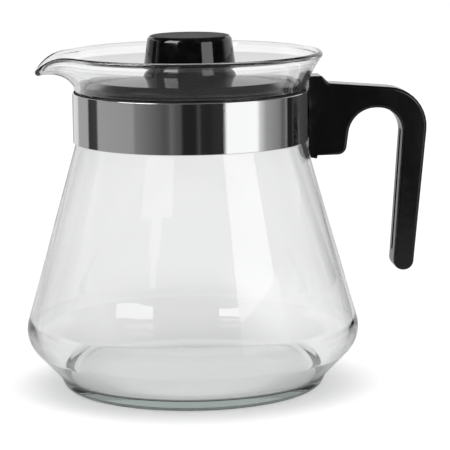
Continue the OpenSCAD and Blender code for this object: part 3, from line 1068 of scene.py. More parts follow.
@dataclass
class GlassVessel(Assembly):
    """The blown vessel: foot, shoulder, cone, neck, flared rim and pouring lip. Sizes in millimetres."""

    body_r: float = 75
    shoulder_z: float = 26.5
    shoulder_round: float = 14
    shoulder_fill: float = 3
    foot_r: float = 58
    foot_round: float = 4
    heel_r: float = 60.6
    heel_z: float = 6
    heel_round: float = 2
    neck_r: float = 51.5
    neck_z: float = 110.8
    neck_top: float = 134.05
    wall: float = 2.2
    floor_t: float = 5
    floor_round: float = 5
    flare_z: float = 134.65
    flare_h: float = 16.5
    flare_out: float = 7.9
    flare_bend: float = 1.4
    bead_r: float = 1.6
    lip_out: float = 9.8
    lip_drop: float = 6.6
    lip_rise: float = 9.6
    lip_lean: float = 2.4
    lip_tip: float = 5
    segments: int = 480
    flare_steps: int = 26
    flare_crowding: float = 1.7
    bead_power: float = 16
    bead_steps: int = 12
    shoulder_steps: int = 28
    hollow_steps: int = 24
    cone_steps: int = 12
    neck_run: float = 20
    neck_round: float = 4
    crease_turn: float = 60

    def __post_init__(self) -> None:
        """Works out the places that follow from the sizes."""
        self.hub = np.array([self.body_r - self.shoulder_round, self.shoulder_z])
        self.taper = self.touch((self.heel_r, self.heel_z), 1)
        self.cone = self.touch((self.neck_r, self.neck_z), -1)
        self.bore_r = self.neck_r - self.wall
        self.mid_r = self.neck_r - self.wall / 2
        self.edge_r = self.neck_r + self.flare_out - self.bead_r
        self.edge_z = self.flare_z + self.flare_h - self.bead_r

    def touch(self, point: tuple[float, float], side: int) -> float:
        """Gives the angle at which a line from a point touches the shoulder's arc."""
        away = np.array(point) - self.hub
        return math.atan2(away[1], away[0]) + side * math.acos(self.shoulder_round / np.linalg.norm(away))

    def cone_r(self, z: float) -> float:
        """Gives the cone's outside radius at a height."""
        return self.neck_r + (self.neck_z - z) * math.tan(self.cone)

    def flare_frame(self, t: float, q: float) -> tuple[np.ndarray, np.ndarray]:
        """Gives a point of the flare's middle line and the direction across it.

        Args:
            t: Share of the way from the neck to the rim.
            q: Share of the pouring lip.

        Returns:
            The point, and the unit vector that points out of the vessel there.
        """
        foot = np.array([self.mid_r, self.flare_z])
        rise = self.flare_bend + q * (self.lip_rise - self.flare_bend)
        bend = np.array([self.mid_r + q * self.lip_lean, self.flare_z + rise])
        edge = np.array([self.edge_r + q * self.lip_out, self.edge_z - q * q * self.lip_drop])
        point = foot * (1 - t) ** 2 + bend * 2 * t * (1 - t) + edge * t * t
        way = unit((bend - foot) * (1 - t) + (edge - bend) * t)
        return point, np.array([way[1], -way[0]])

    def flare_face(self, t: float, q: float, side: int) -> np.ndarray:
        """Gives a point on one face of the flare.

        Args:
            t: Share of the way from the neck to the rim.
            q: Share of the pouring lip.
            side: 1 for the outer face, -1 for the inner one.

        Returns:
            The point.
        """
        point, out = self.flare_frame(t, q)
        half = self.wall / 2 + (self.bead_r - self.wall / 2) * t ** self.bead_power
        return point + side * half * out

    def flare_section(self, q: float) -> Points:
        """Gives the flare's section at a share of the lip: outer face, bead and inner face.

        Args:
            q: Share of the pouring lip.

        Returns:
            The section's points.
        """
        shares = 1 - (1 - np.linspace(0, 1, self.flare_steps + 1)) ** self.flare_crowding
        point, out = self.flare_frame(1, q)
        way = np.array([-out[1], out[0]])
        turns = np.linspace(0, math.pi, self.bead_steps + 1)[1:-1]
        bead = [point + self.bead_r * (out * math.cos(a) + way * math.sin(a)) for a in turns]
        outer = [self.flare_face(t, q, 1) for t in shares]
        inner = [self.flare_face(t, q, -1) for t in shares[::-1]]
        return [*outer, *bead, *inner]

    def outside(self) -> Points:
        """Gives the outside below the flare, from the table up.

        Returns:
            The face's points.
        """
        foot = [(0, 0, 0), (self.foot_r, 0, self.foot_round), (self.heel_r, self.heel_z, self.heel_round)]
        shoulder = arc(self.hub, self.shoulder_round, self.taper, self.cone, self.shoulder_steps)
        rise = self.spread_line(shoulder[-1], np.array([self.neck_r, self.neck_z]), self.cone_steps)
        lower = rounded([*foot, (*shoulder[0], 0)], closed=False)
        return [*lower[:-1], *shoulder, *rise[1:-1], *self.bent_neck(self.neck_r, 0)]

    def inside(self) -> Points:
        """Gives the inside below the flare, from the neck down.

        Returns:
            The face's points.
        """
        middle, half = (self.cone + self.taper) / 2, (self.cone - self.taper) / 2
        inward = np.array([math.cos(middle), math.sin(middle)]) * self.shoulder_fill / math.cos(half)
        inner_round = self.shoulder_round - self.wall + self.shoulder_fill
        hollow = arc(self.hub - inward, inner_round, self.cone, self.taper, self.hollow_steps)
        fall = self.wall + (self.floor_t - self.heel_z) * math.sin(self.taper)
        floor_r = self.heel_r - fall / math.cos(self.taper)
        neck = self.bent_neck(self.bore_r, -self.wall * math.tan(self.cone / 2))[::-1]
        cone = self.spread_line(neck[-1], hollow[0], self.cone_steps)
        corner = (floor_r, self.floor_t, self.floor_round)
        floor = rounded([(*hollow[-1], 0), corner, (0, self.floor_t, 0)], closed=False)
        return [*neck[:-1], *cone[:-1], *hollow, *floor[1:]]

    def bent_neck(self, radius: float, shift: float) -> Points:
        """Gives the short bend from the cone into the neck, and the neck, going up.

        Args:
            radius: The neck's radius on this face.
            shift: How far the bend's corner sits above the outer one.

        Returns:
            Points of the face.
        """
        low = (radius + self.neck_run * math.tan(self.cone), self.neck_z + shift - self.neck_run, 0)
        corner = (radius, self.neck_z + shift, self.neck_round)
        return rounded([low, corner, (radius, self.neck_top, 0)], closed=False)[1:]

    @staticmethod
    def spread_line(a: np.ndarray, b: np.ndarray, steps: int) -> Points:
        """Lays even points from a to b."""
        return [a + (b - a) * k / steps for k in range(steps + 1)]

    def section(self, q: float) -> np.ndarray:
        """Gives the whole section at a share of the lip, as one line from axis to axis."""
        return np.array([*self.outside(), *self.flare_section(q), *self.inside()])

    def build(self) -> Item:
        """Turns the vessel and hands it over.

        Returns:
            The vessel.
        """
        plain, half, full = (self.section(q) for q in (0.0, 0.5, 1.0))
        bow = 2 * (full + plain) - 4 * half
        pull = full - plain - bow
        spread = math.acos(self.edge_r / (self.edge_r + self.lip_out))
        values = {"Profile Points": len(plain), "Segments": self.segments, "Lip Spread": spread,
                  "Lip Round": math.radians(self.lip_tip), "Rim Radius": self.edge_r,
                  "Lip Reach": self.lip_out, "Material": self.shop.finish[Slot.GLASS]}
        piece = grow("vessel_glass", profile_host(list(plain), pull, bow), self.shop.forms.turned, values)
        return hand_over(crease(face_out(piece), self.crease_turn), Body.CARAFE, Slot.GLASS, "glass_vessel")


@dataclass
class PanScrew:
    """A pan-head screw with a cross recess, its head on z = 0. Sizes in millimetres.

    The crown and the recess are shares of the head's sizes.
    """

    shank_r: float
    length: float
    head_r: float
    head_h: float
    pitch: float
    under_round: float = 0.12
    crown: float = 0.4
    thread_depth: float = 0.3
    recess_reach: float = 0.55
    recess_width: float = 0.22
    recess_depth: float = 0.55
    crease_turn: float = 28

    def make(self, name: str, shop: Workshop) -> Item:
        """Makes the screw.

        Args:
            name: Name of the screw.
            shop: The forms and finishes.

        Returns:
            The screw.
        """
        wide, tall = self.head_r, self.head_h
        rim: list[Corner] = [(wide, 0, self.under_round), (wide, tall, self.crown * tall)]
        profile = rounded([(0, 0, 0), *rim, (0, tall, 0)], closed=False)
        lengths = {"Shank Radius": self.shank_r, "Shank Length": self.length, "Pitch": self.pitch,
                   "Thread Depth": self.thread_depth, "Head Height": tall,
                   "Recess Reach": self.recess_reach * wide, "Recess Width": self.recess_width * wide,
                   "Recess Depth": self.recess_depth * tall}
        values = {"Profile Points": len(profile), "Material": shop.finish[Slot.FASTENER],
                  **{label: length * MM for label, length in lengths.items()}}
        piece = grow(name, profile_host(profile), shop.forms.screw, values)
        return crease(face_out(piece), self.crease_turn)


@dataclass
class FlatWasher:
    """A washer on z = 0 with one rolled and one sharp side, as a punched one has. Sizes in millimetres."""

    outer: float
    inner: float
    t: float
    sharp: float = 0.06
    rolled_out: float = 0.25
    rolled_in: float = 0.2
    segments: int = 72

    def make(self, name: str, shop: Workshop) -> Item:
        """Makes the washer.

        Args:
            name: Name of the washer.
            shop: The forms and finishes.

        Returns:
            The washer.
        """
        ring = rounded([(self.outer, 0, self.sharp), (self.outer, self.t, self.rolled_out),
                        (self.inner, self.t, self.rolled_in), (self.inner, 0, self.sharp)])
        return crease(shop.turn(name, [*ring, ring[0]], Slot.FASTENER, self.segments), SOFT_CREASE)


@dataclass
class NeckClamp(Assembly):
    """The polished band with its ears, its liner and the screw that draws it tight. Sizes in millimetres."""

    liner_in: float = 51.55
    liner_out: float = 52
    liner_top: float = 134
    band_in: float = 52.05
    band_t: float = 0.7
    band_low: float = 111.2
    band_high: float = 133.5
    band_edge: float = 0.25
    ear_out: float = 9.5
    ear_h: float = 16
    ear_gap: float = 1.6
    bend_r: float = 0.5
    clamp_out: float = 5.4
    screw_r: float = 2
    screw_room: float = 0.2
    head_r: float = 3.8
    head_h: float = 2.3
    washer_r: float = 4.2
    washer_t: float = 0.8
    nut_t: float = 3
    nut_half: float = 3.5
    slot_half: float = 1.65
    recess_floor: float = 3.45
    pitch: float = 0.7
    liner_soft: float = 0.15
    ear_lead: float = 0.1
    ring_steps: int = 300
    bend_steps: int = 6
    ear_steps: int = 12

    def __post_init__(self) -> None:
        """Works out the places that follow from the sizes."""
        self.band_r = self.band_in + self.band_t
        self.middle = (self.band_low + self.band_high) / 2
        self.clamp_x = self.band_r + self.clamp_out

    def build(self) -> list[Item]:
        """Makes the band, the liner and the clamp's fasteners.

        Returns:
            The pieces.
        """
        return [
            hand_over(self.band(), Body.CARAFE, Slot.STEEL, "neck_band"),
            hand_over(self.liner(), Body.CARAFE, Slot.LINER, "band_liner"),
            hand_over(self.screw(), Body.CARAFE, Slot.FASTENER, "clamp_screw"),
            hand_over(self.washer(), Body.CARAFE, Slot.FASTENER, "clamp_washer"),
        ]

    def band_path(self) -> Points:
        """Gives the strip's path in plan: in along one ear, round the neck and out along the other.

        Returns:
            The path's points.
        """
        radius = self.band_in + self.band_t / 2
        ear_y = self.ear_gap / 2 + self.band_t / 2
        turn_y = ear_y + self.bend_r
        hub_x = math.sqrt((radius + self.bend_r) ** 2 - turn_y ** 2)
        start = math.atan2(turn_y, hub_x)
        bend = arc(np.array([hub_x, turn_y]), self.bend_r, -math.pi / 2, start - math.pi, self.bend_steps)
        along = np.linspace(self.band_r + self.ear_out, hub_x, self.ear_steps)[:-1]
        ear = [np.array([x, ear_y]) for x in along]
        ring = arc(np.zeros(2), radius, start, 2 * math.pi - start, self.ring_steps)[1:-1]
        way_in = [*ear, *bend]
        way_out = [p * np.array([1, -1]) for p in reversed(way_in)]
        return [*way_in, *ring, *way_out]

    def band(self) -> Item:
        """Bends the steel strip.

        Returns:
            The band.
        """
        curve = bpy.data.curves.new("band_path", "CURVE")
        curve.dimensions = "3D"
        path = self.band_path()
        line = curve.splines.new("POLY")
        line.points.add(len(path) - 1)
        for spot, p in zip(line.points, path):
            spot.co = (p[0] * MM, p[1] * MM, self.middle * MM, 1)
        lengths = {"Thickness": self.band_t, "Height": self.band_high - self.band_low,
                   "Middle": self.middle, "Edge Round": self.band_edge,
                   "Ear Height": self.ear_h, "Ear Start": self.band_r + self.ear_lead,
                   "Hole Radius": self.screw_r + self.screw_room, "Hole Place": self.clamp_x}
        values = {label: length * MM for label, length in lengths.items()}
        values["Material"] = self.shop.finish[Slot.STEEL]
        piece = grow("steel_band", link("band_path", curve), self.shop.forms.strip, values)
        return crease(face_out(piece), SOFT_CREASE)

    def liner(self) -> Item:
        """Turns the liner, with softly rounded edges.

        Returns:
            The liner.
        """
        corners = [(self.liner_out, self.band_low), (self.liner_out, self.liner_top),
                   (self.liner_in, self.liner_top), (self.liner_in, self.band_low)]
        ring = rounded([(*corner, self.liner_soft) for corner in corners])
        return crease(self.shop.turn("neck_liner", [*ring, ring[0]], Slot.LINER), SOFT_CREASE)

    def placed(self, piece: Item, y: float) -> Item:
        """Sets a piece that was made on Z onto the clamp's axis, which points to the handle's back.

        Args:
            piece: The piece.
            y: Its place along the axis.

        Returns:
            The same piece.
        """
        spot = Matrix.Translation(Vector((self.clamp_x, y, self.middle)) * MM)
        piece.data.transform(spot @ Matrix.Rotation(-math.pi / 2, 4, "X"))
        return piece

    def screw(self) -> Item:
        """Makes the clamp's screw.

        Returns:
            The screw, in its place.
        """
        under_head = self.recess_floor + self.washer_t
        length = under_head + self.slot_half + self.nut_t
        screw = PanScrew(self.screw_r, length, self.head_r, self.head_h, self.pitch)
        return self.placed(screw.make("handle_screw", self.shop), under_head)

    def washer(self) -> Item:
        """Makes the washer under the screw's head."""
        washer = FlatWasher(self.washer_r, self.screw_r + self.screw_room, self.washer_t)
        return self.placed(washer.make("handle_washer", self.shop), self.recess_floor)


@dataclass
class HandleMoulding(Assembly):
    """The J-shaped handle: block with lip and tab, arm and grip. Sizes in millimetres."""

    thickness: float = 14
    bevel: float = 1.4
    bevel_steps: int = 5
    top: float = 136.1
    outer_z: float = 132.3
    end_z: float = 50.2
    arch_z: float = 124.6
    block_z: float = 103.7
    lip_h: float = 3.4
    lip_out: float = 5.9
    lip_run: float = 3.3
    corner: float = 18
    end_round: float = 4.45
    arch_grip: float = 11
    arch_block: float = 12.5
    block_out: float = 19.5
    block_draw: float = 2.9
    block_corner: float = 4
    tab_out: float = 3.7
    tab_h: float = 1.5
    tab_rise: float = 1
    outer_x: float = 108.03
    outer_end_x: float = 100.1
    inner_top_x: float = 96.05
    inner_end_x: float = 90.86
    groove_w: float = 3.4
    groove_d: float = 1
    groove_low: float = 9.3
    room: float = 0.15
    lip_top_round: float = 0.8
    lip_foot_round: float = 1.5
    tab_round: float = 0.45
    bevel_share: float = 0.75
    plain_bevel: float = 0.3
    overlap: float = 1
    clear_top: float = 152
    flare_steps: int = 20
    drill_segments: int = 64
    wear_turn: float = 25
    wear_reach: float = 1.2
    crease_turn: float = 32

    def outline(self, clamp: NeckClamp) -> tuple[np.ndarray, np.ndarray]:
        """Gives the outline in the XZ plane and the bevel that each of its points can carry.

        Args:
            clamp: The band that the handle is measured from.

        Returns:
            The points, and a bevel for each point.
        """
        inside = clamp.band_in - self.overlap
        lip_z, tab_z = self.top + self.lip_h, self.block_z - self.tab_h
        lip, block, tab = (clamp.band_r + out for out in (self.lip_out, self.block_out, self.tab_out))
        corners: list[Corner] = [
            (inside, lip_z, 0),
            (lip, lip_z, self.lip_top_round),
            (lip + self.lip_run, self.top, self.lip_foot_round),
            (self.outer_x, self.outer_z, self.corner),
            (self.outer_end_x, self.end_z, self.end_round),
            (self.inner_end_x, self.end_z, self.end_round),
            (self.inner_top_x, self.arch_z, self.arch_grip),
            (block, self.arch_z, self.arch_block),
            (block - self.block_draw, self.block_z, self.block_corner),
            (tab, self.block_z, self.tab_round),
            (tab, tab_z, self.tab_round),
            (inside, tab_z + self.tab_rise, 0),
        ]
        points: Points = []
        bevels: list[float] = []
        for i, corner in enumerate(corners):
            near = [corners[i - 1], corner, corners[(i + 1) % len(corners)]]
            piece = rounded([(*c[:2], c[2] if c is corner else 0) for c in near], closed=False)[1:-1]
            points += piece
            bevel = min(self.bevel, self.bevel_share * corner[2]) if corner[2] else self.plain_bevel
            bevels += [bevel] * len(piece)
        return np.array(points), np.array(bevels)

    def blank(self, clamp: NeckClamp) -> Item:
        """Makes the solid outline with rounded edges on both sides.

        Args:
            clamp: The band that the handle is measured from.

        Returns:
            The blank.
        """
        points, bevels = self.outline(clamp)
        before, after = np.roll(points, 1, 0), np.roll(points, -1, 0)
        ways = [np.apply_along_axis(unit, 1, d) for d in (points - before, after - points)]
        norms = [np.column_stack([w[:, 1], -w[:, 0]]) for w in ways]
        share = 1 + np.sum(norms[0] * norms[1], axis=1, keepdims=True)
        inward = (norms[0] + norms[1]) / share
        half = self.thickness / 2
        rings = []
        for turn in np.linspace(0, math.pi / 2, self.bevel_steps + 1):
            inset = points + inward * (bevels * (1 - math.sin(turn)))[:, None]
            depth = half - bevels * (1 - math.cos(turn))
            rings.append(np.column_stack([inset[:, 0], -depth, inset[:, 1]]))
        rings += [ring * np.array([1, -1, 1]) for ring in reversed(rings)]
        count = len(points)
        verts = np.concatenate(rings) * MM
        faces = [list(range(count)), [len(verts) - 1 - k for k in range(count)]]
        for k in range(len(rings) - 1):
            low, high = k * count, (k + 1) * count
            for i in range(count):
                beside = (i + 1) % count
                faces.append([low + beside, low + i, high + i, high + beside])
        mesh = bpy.data.meshes.new("handle_blank")
        mesh.from_pydata([tuple(v) for v in verts], [], faces)
        return face_out(link("handle_blank", mesh))

    def keep_out(self, vessel: GlassVessel, clamp: NeckClamp) -> Item:
        """Makes the round solid that the handle keeps clear of: cone, band and flare.

        Args:
            vessel: The vessel.
            clamp: The band.

        Returns:
            The solid.
        """
        low = self.block_z - self.tab_h - self.overlap
        band = clamp.band_r + self.room
        foot_z = vessel.neck_z - (clamp.band_r - vessel.neck_r) / math.tan(vessel.cone)
        shares = np.linspace(0, 1, self.flare_steps)
        flare = [vessel.flare_face(t, 0, 1) + np.array([self.room, 0]) for t in shares]
        below = [(0, low), (vessel.cone_r(low) + self.room, low), (band, foot_z)]
        line = [*below, *(p for p in flare if p[0] > band), (0, self.clear_top)]
        return self.shop.turn("keep_out", [np.array(p) for p in line])

    def grip_in(self, z: float) -> float:
        """Gives the place of the grip's inner face at a height."""
        share = (z - self.end_z) / (self.arch_z - self.end_z)
        return self.inner_end_x + (self.inner_top_x - self.inner_end_x) * share

    def groove(self) -> Item:
        """Makes the solid of the groove along the grip's inner face.

        Returns:
            The solid.
        """
        low, high = self.end_z + self.groove_low, self.arch_z - self.arch_grip
        face_low, face_high = self.grip_in(low), self.grip_in(high)
        line = [(face_low - self.overlap, low - self.overlap), (face_low + self.groove_d, low),
                (face_high + self.groove_d, high), (face_high - self.overlap, high + self.overlap)]
        return prism("groove", [np.array(p) for p in line], self.groove_w / 2)

    def clamp_room(self, clamp: NeckClamp) -> list[Item]:
        """Makes the solids of the ear slot, the nut's pocket, the screw's hole and its recess.

        Args:
            clamp: The clamp that goes into the handle.

        Returns:
            The solids.
        """
        inside, middle = clamp.band_in - self.overlap, clamp.middle
        ear, nut = clamp.ear_h / 2 + self.room, clamp.nut_half + self.room
        slot = box("ear_slot", (inside, -clamp.slot_half, middle - ear),
                   (clamp.band_r + clamp.ear_out + self.room, clamp.slot_half, middle + ear))
        pocket = box("nut_pocket", (inside, -clamp.slot_half - clamp.nut_t - self.room, middle - nut),
                     (clamp.clamp_x + nut, 0, middle + nut))
        drills = []
        for name, radius, start in (("hole", clamp.screw_r + clamp.screw_room, 0.0),
                                    ("recess", clamp.washer_r + clamp.screw_room, clamp.recess_floor)):
            corners = ((0, 0), (radius, 0), (radius, self.thickness), (0, self.thickness))
            line = [np.array(p) for p in corners]
            drills.append(clamp.placed(self.shop.turn(name, line, segments=self.drill_segments), start))
        return [slot, pocket, *drills]

    def build(self, vessel: GlassVessel, clamp: NeckClamp) -> Item:
        """Cuts the moulding and hands it over.

        Args:
            vessel: The vessel that it keeps clear of.
            clamp: The band that holds it.

        Returns:
            The handle.
        """
        cutters = [self.keep_out(vessel, clamp), self.groove(), *self.clamp_room(clamp)]
        piece = cut_away(self.blank(clamp), cutters, "handle_moulding")
        mark_edges(piece, self.wear_turn, self.wear_reach)
        piece.data.materials.clear()
        piece.data.materials.append(self.shop.finish[Slot.HANDLE])
        piece.data.shade_smooth()
        return hand_over(crease(piece, self.crease_turn), Body.CARAFE, Slot.HANDLE, "handle")


@dataclass
class LiftLid(Assembly):
    """The low-crowned lid with its skirt, the knob on it and the screw that holds the knob. Millimetres."""

    lid_r: float = 49.5
    edge_h: float = 1.6
    edge_round: float = 0.5
    margin_w: float = 5
    margin_rise: float = 2.1
    crown_rise: float = 2.6
    crease_round: float = 2
    lid_t: float = 2.2
    skirt_r: float = 48.3
    skirt_t: float = 1.8
    skirt_h: float = 10
    knob_r: float = 20.8
    knob_top_r: float = 18.7
    knob_h: float = 16.1
    knob_round: float = 2.4
    knob_wall: float = 2.2
    land_w: float = 0.6
    boss_r: float = 5
    boss_depth: float = 10
    screw_r: float = 1.9
    screw_bite: float = 8.5
    screw_room: float = 0.2
    thread_room: float = 0.05
    head_r: float = 3.6
    head_h: float = 2.3
    washer_r: float = 5.5
    washer_t: float = 0.8
    pitch: float = 1.1
    land_round: float = 0.4
    seat_round: float = 0.2
    seat_corner: float = 0.1
    skirt_round: float = 0.5
    under_round: float = 0.3
    knob_flat: float = 0.55
    knob_room: float = 0.02
    knob_foot_round: float = 0.3
    knob_inner_round: float = 1
    boss_round: float = 0.8
    boss_edge: float = 0.2
    segments: int = 300
    wear_turn: float = 8
    wear_reach: float = 0.8

    def __post_init__(self) -> None:
        """Works out the places that follow from the sizes."""
        self.knob_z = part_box("lid_knob")[0].z / MM
        self.crown_z = self.knob_z - self.crown_rise
        self.edge_z = self.crown_z - self.margin_rise
        self.seat_z = self.edge_z - self.edge_h
        self.crown_r = self.lid_r - self.margin_w
        self.land_r = self.knob_r + self.land_w
        self.washer_z = self.knob_z - self.lid_t

    def cover(self) -> Item:
        """Turns the cover: a flat land for the knob, a shallow crown, a sloping margin and the skirt.

        Returns:
            The cover.
        """
        hole = self.screw_r + self.screw_room
        skirt_in, foot = self.skirt_r - self.skirt_t, self.seat_z - self.skirt_h
        margin_fall = self.margin_rise * (skirt_in - self.crown_r) / self.margin_w
        under = self.crown_z - self.lid_t
        ring = rounded([
            (hole, self.knob_z, 0),
            (self.land_r, self.knob_z, self.land_round),
            (self.crown_r, self.crown_z, self.crease_round),
            (self.lid_r, self.edge_z, self.edge_round),
            (self.lid_r, self.seat_z, self.seat_round),
            (self.skirt_r, self.seat_z, self.seat_corner),
            (self.skirt_r, foot, self.skirt_round),
            (skirt_in, foot, self.skirt_round),
            (skirt_in, under - margin_fall, self.under_round),
            (self.crown_r, under, 0),
            (self.land_r, self.washer_z, 0),
            (hole, self.washer_z, 0),
        ])
        return self.rubbed(self.shop.turn("lid_shell", [*ring, ring[0]], Slot.LID, self.segments))

    def knob(self) -> Item:
        """Turns the hollow knob with its screw boss.

        Returns:
            The knob.
        """
        foot, hole = self.knob_z, self.screw_r + self.thread_room
        top, end = foot + self.knob_h - self.knob_room, foot + self.boss_depth
        line = rounded([
            (0, top, 0),
            (self.knob_top_r * self.knob_flat, top, 0),
            (self.knob_top_r, top, self.knob_round),
            (self.knob_r, foot, self.knob_foot_round),
            (self.knob_r - self.knob_wall, foot, self.knob_foot_round),
            (self.knob_top_r - self.knob_wall, top - self.knob_wall, self.knob_inner_round),
            (self.boss_r, top - self.knob_wall, self.boss_round),
            (self.boss_r, foot, self.boss_edge),
            (hole, foot, self.boss_edge),
            (hole, end, 0),
            (0, end, 0),
        ], closed=False)
        return self.rubbed(self.shop.turn("lid_grip", line, Slot.KNOB, self.segments))

    def rubbed(self, piece: Item) -> Item:
        """Marks a piece's worn edges and sets its shading."""
        mark_edges(piece, self.wear_turn, self.wear_reach)
        return crease(piece, SOFT_CREASE)

    def fasteners(self) -> tuple[Item, Item]:
        """Makes the screw under the lid, and its washer.

        Returns:
            The screw and the washer, in their places.
        """
        length = self.washer_t + self.lid_t + self.screw_bite
        hole = self.screw_r + self.screw_room
        screw = PanScrew(self.screw_r, length, self.head_r, self.head_h, self.pitch)
        screw = screw.make("lid_screw", self.shop)
        washer = FlatWasher(self.washer_r, hole, self.washer_t).make("lid_washer", self.shop)
        for piece, z in ((screw, self.washer_z - self.washer_t), (washer, self.washer_z)):
            piece.data.transform(Matrix.Translation((0, 0, z * MM)) @ Matrix.Rotation(math.pi, 4, "X"))
        return screw, washer

    def build(self) -> list[Item]:
        """Makes the lid's pieces and hands them over.

        Returns:
            The pieces.
        """
        screw, washer = self.fasteners()
        return [
            hand_over(self.cover(), Body.LID, Slot.LID, "lid_cover"),
            hand_over(self.knob(), Body.LID, Slot.KNOB, "lid_knob"),
            hand_over(screw, Body.LID, Slot.FASTENER, "knob_screw"),
            hand_over(washer, Body.LID, Slot.FASTENER, "knob_washer"),
        ]


# Table, light and camera


FAR_RADIUS = 1.5
FAR_DROOP = 3.4e-5
PANEL_STEP = 2
LEAST_STEPS = 2
HALF_STEP = 0.5


@dataclass
class WhiteTable:
    """The white table, which keeps the object's shadow and has its own level for each kind of ray.

    The fades run along the distance from the foot's middle, or along x or y where their use says so.
    Some paint light and shade on the table: a painted contact shadow round the foot, painted shade under
    the front of the foot's ring, behind the vessel's middle and near the vessel for rays turned inside
    the glass, and painted light under the glass and to the right.
    """

    radius: float = 2.5
    segments: int = 96
    drop: float = 0.0002
    paper: Colour = (0.8, 0.8, 0.8)
    open_lift: Fade = Fade(0.25, 1.2, 0.43, 0.54)
    # Painted contact shadow: near the foot the table's glow for the camera fades.
    painted_foot_shadow: Fade = Fade(0.056, 0.095, 0.15, 0)
    # Painted light: seen through the glass, the table glows brighter under the vessel, lifting its shadow.
    painted_light_under_glass: Fade = Fade(0.06, 0.1, 0.42, 0.22)
    far_lift: Fade = Fade(0.3, 0.7, 0, 0.06)
    past_foot: Fade = Fade(0.06, 0.1, 0, 1)
    near: Fade = Fade(0.17, 0.33, 1, 0)
    # Painted shadow: seen through the glass, the table is darker behind the vessel's middle.
    painted_shadow_middle_x: float = 0.012
    painted_shadow_behind: Fade = Fade(0.012, 0.05, 0.105, 0.045)
    # Painted light: seen through the glass, the table is lighter to the right.
    painted_light_right: Fade = Fade(0.03, 0.06, 0, 0.09)
    # Painted shade: seen through the glass, the table is darker under the front of the foot's ring.
    painted_contact_start: Fade = Fade(0.034, 0.046, 0, 1)
    painted_contact_end: Fade = Fade(0.064, 0.075, 1, 0)
    painted_contact_front: Fade = Fade(-0.02, 0.01, 1, 0)
    painted_contact_level: float = -0.34
    mirrored_back: Fade = Fade(-0.05, 0.1, 0, 0.3)
    # Painted shade: rays that turned inside the glass see the table near the vessel dark.
    shade_start: Fade = Fade(0.105, 0.125, 0, 1)
    shade_end: Fade = Fade(0.18, 0.24, 0.85, 0)
    shade_level: float = 0.05
    few_mirrors: float = 3.5
    one_wall: float = 2.5

    def build(self) -> None:
        """Makes the table."""
        mesh = bpy.data.meshes.new("table")
        work = bmesh.new()
        bmesh.ops.create_circle(work, cap_ends=True, segments=self.segments, radius=self.radius)
        work.to_mesh(mesh)
        work.free()
        look = Look("white_table")
        look.w.tree.nodes.remove(look.shader)
        look.end(self.surface(look.w, look.where))
        floor = link("table", mesh)
        floor.location.z = -self.drop
        floor.data.materials.append(look.made)

    def surface(self, w: Wiring, where: Socket) -> Socket:
        """Wires the table's surface.

        Its glow for the camera fades round the foot as a painted contact shadow, and rays turned inside
        the glass see it near the vessel as painted shade.

        Args:
            w: The material's wiring.
            where: The place on the table.

        Returns:
            The surface.
        """
        x, y, _ = w.separate(where)
        away = w.math("SQRT", w.math("MULTIPLY_ADD", x, x, w.times(y, y)))
        ray = w.add("ShaderNodeLightPath").outputs
        # Painted contact shadow: the camera's glow on the table fades near the foot.
        in_view = w.math("SUBTRACT", self.open_lift.along(w, away), self.painted_foot_shadow.along(w, away))
        in_view = w.times(ray["Is Camera Ray"], in_view)
        few = w.math("LESS_THAN", ray["Glossy Depth"], self.few_mirrors)
        through = w.times(self.seen_through(w, x, y, away), few)
        mirrored = w.math("SUBTRACT", ray["Is Glossy Ray"], ray["Is Transmission Ray"])
        behind = w.times(w.math("MAXIMUM", mirrored, 0), self.mirrored_back.along(w, y))
        lift = w.math("MULTIPLY_ADD", ray["Is Transmission Ray"], through, w.math("ADD", in_view, behind))
        paper = w.out("ShaderNodeBsdfDiffuse", {"Color": (*self.paper, 1)})
        lit = w.out("ShaderNodeAddShader", {0: paper, 1: w.glow(lift)})
        # Painted shade: rays that turned inside the glass see the table near the vessel at a dark glow.
        turned = w.times(w.math("GREATER_THAN", ray["Glossy Depth"], HALF_STEP),
                         w.math("LESS_THAN", ray["Transmission Depth"], self.one_wall),
                         ray["Is Transmission Ray"])
        beside = w.times(self.shade_start.along(w, away), self.shade_end.along(w, away))
        feeds = {0: w.times(turned, beside), 1: lit, 2: w.glow(self.shade_level)}
        return w.out("ShaderNodeMixShader", feeds)

    def seen_through(self, w: Wiring, x: Socket, y: Socket, away: Socket) -> Socket:
        """Wires the table's level for rays that come through the glass.

        It holds painted light under the glass and to the right, and painted shade behind the vessel's
        middle and under the front of the foot's ring.

        Args:
            w: The material's wiring.
            x: Place along x.
            y: Place along y.
            away: Distance from the foot's middle.

        Returns:
            The level.
        """
        near = self.near.along(w, away)
        # Painted shadow behind the vessel's middle, as seen through the glass.
        aside = w.math("ABSOLUTE", w.math("SUBTRACT", x, self.painted_shadow_middle_x))
        painted_shadow_behind = w.times(self.past_foot.along(w, away), near, self.painted_shadow_behind.along(w, aside))
        # Painted light under the glass, which lifts the table's shadow there.
        level = w.math("ADD", self.painted_light_under_glass.along(w, away), self.far_lift.along(w, away))
        level = w.math("SUBTRACT", level, painted_shadow_behind)
        # Painted light on the right.
        level = w.math("ADD", level, w.times(self.painted_light_right.along(w, x), near))
        # Painted shade under the front of the foot's ring.
        painted_contact_shade = w.times(self.painted_contact_start.along(w, away), self.painted_contact_end.along(w, away),
                          self.painted_contact_front.along(w, y))
        return w.math("MULTIPLY_ADD", painted_contact_shade, self.painted_contact_level, level)


@dataclass(frozen=True)
class Card:
    """A light or dark panel bent round the server. Angles in degrees from the front, lengths in metres.

    Its heights droop with the square of the angle from the camera, so that the cone mirrors it level.
    """

    start: float
    end: float
    level_start: float
    level_end: float
    low: float = 0.0
    high: float = 0.15
    radius: float = 0.45
    droop: float = 0.0


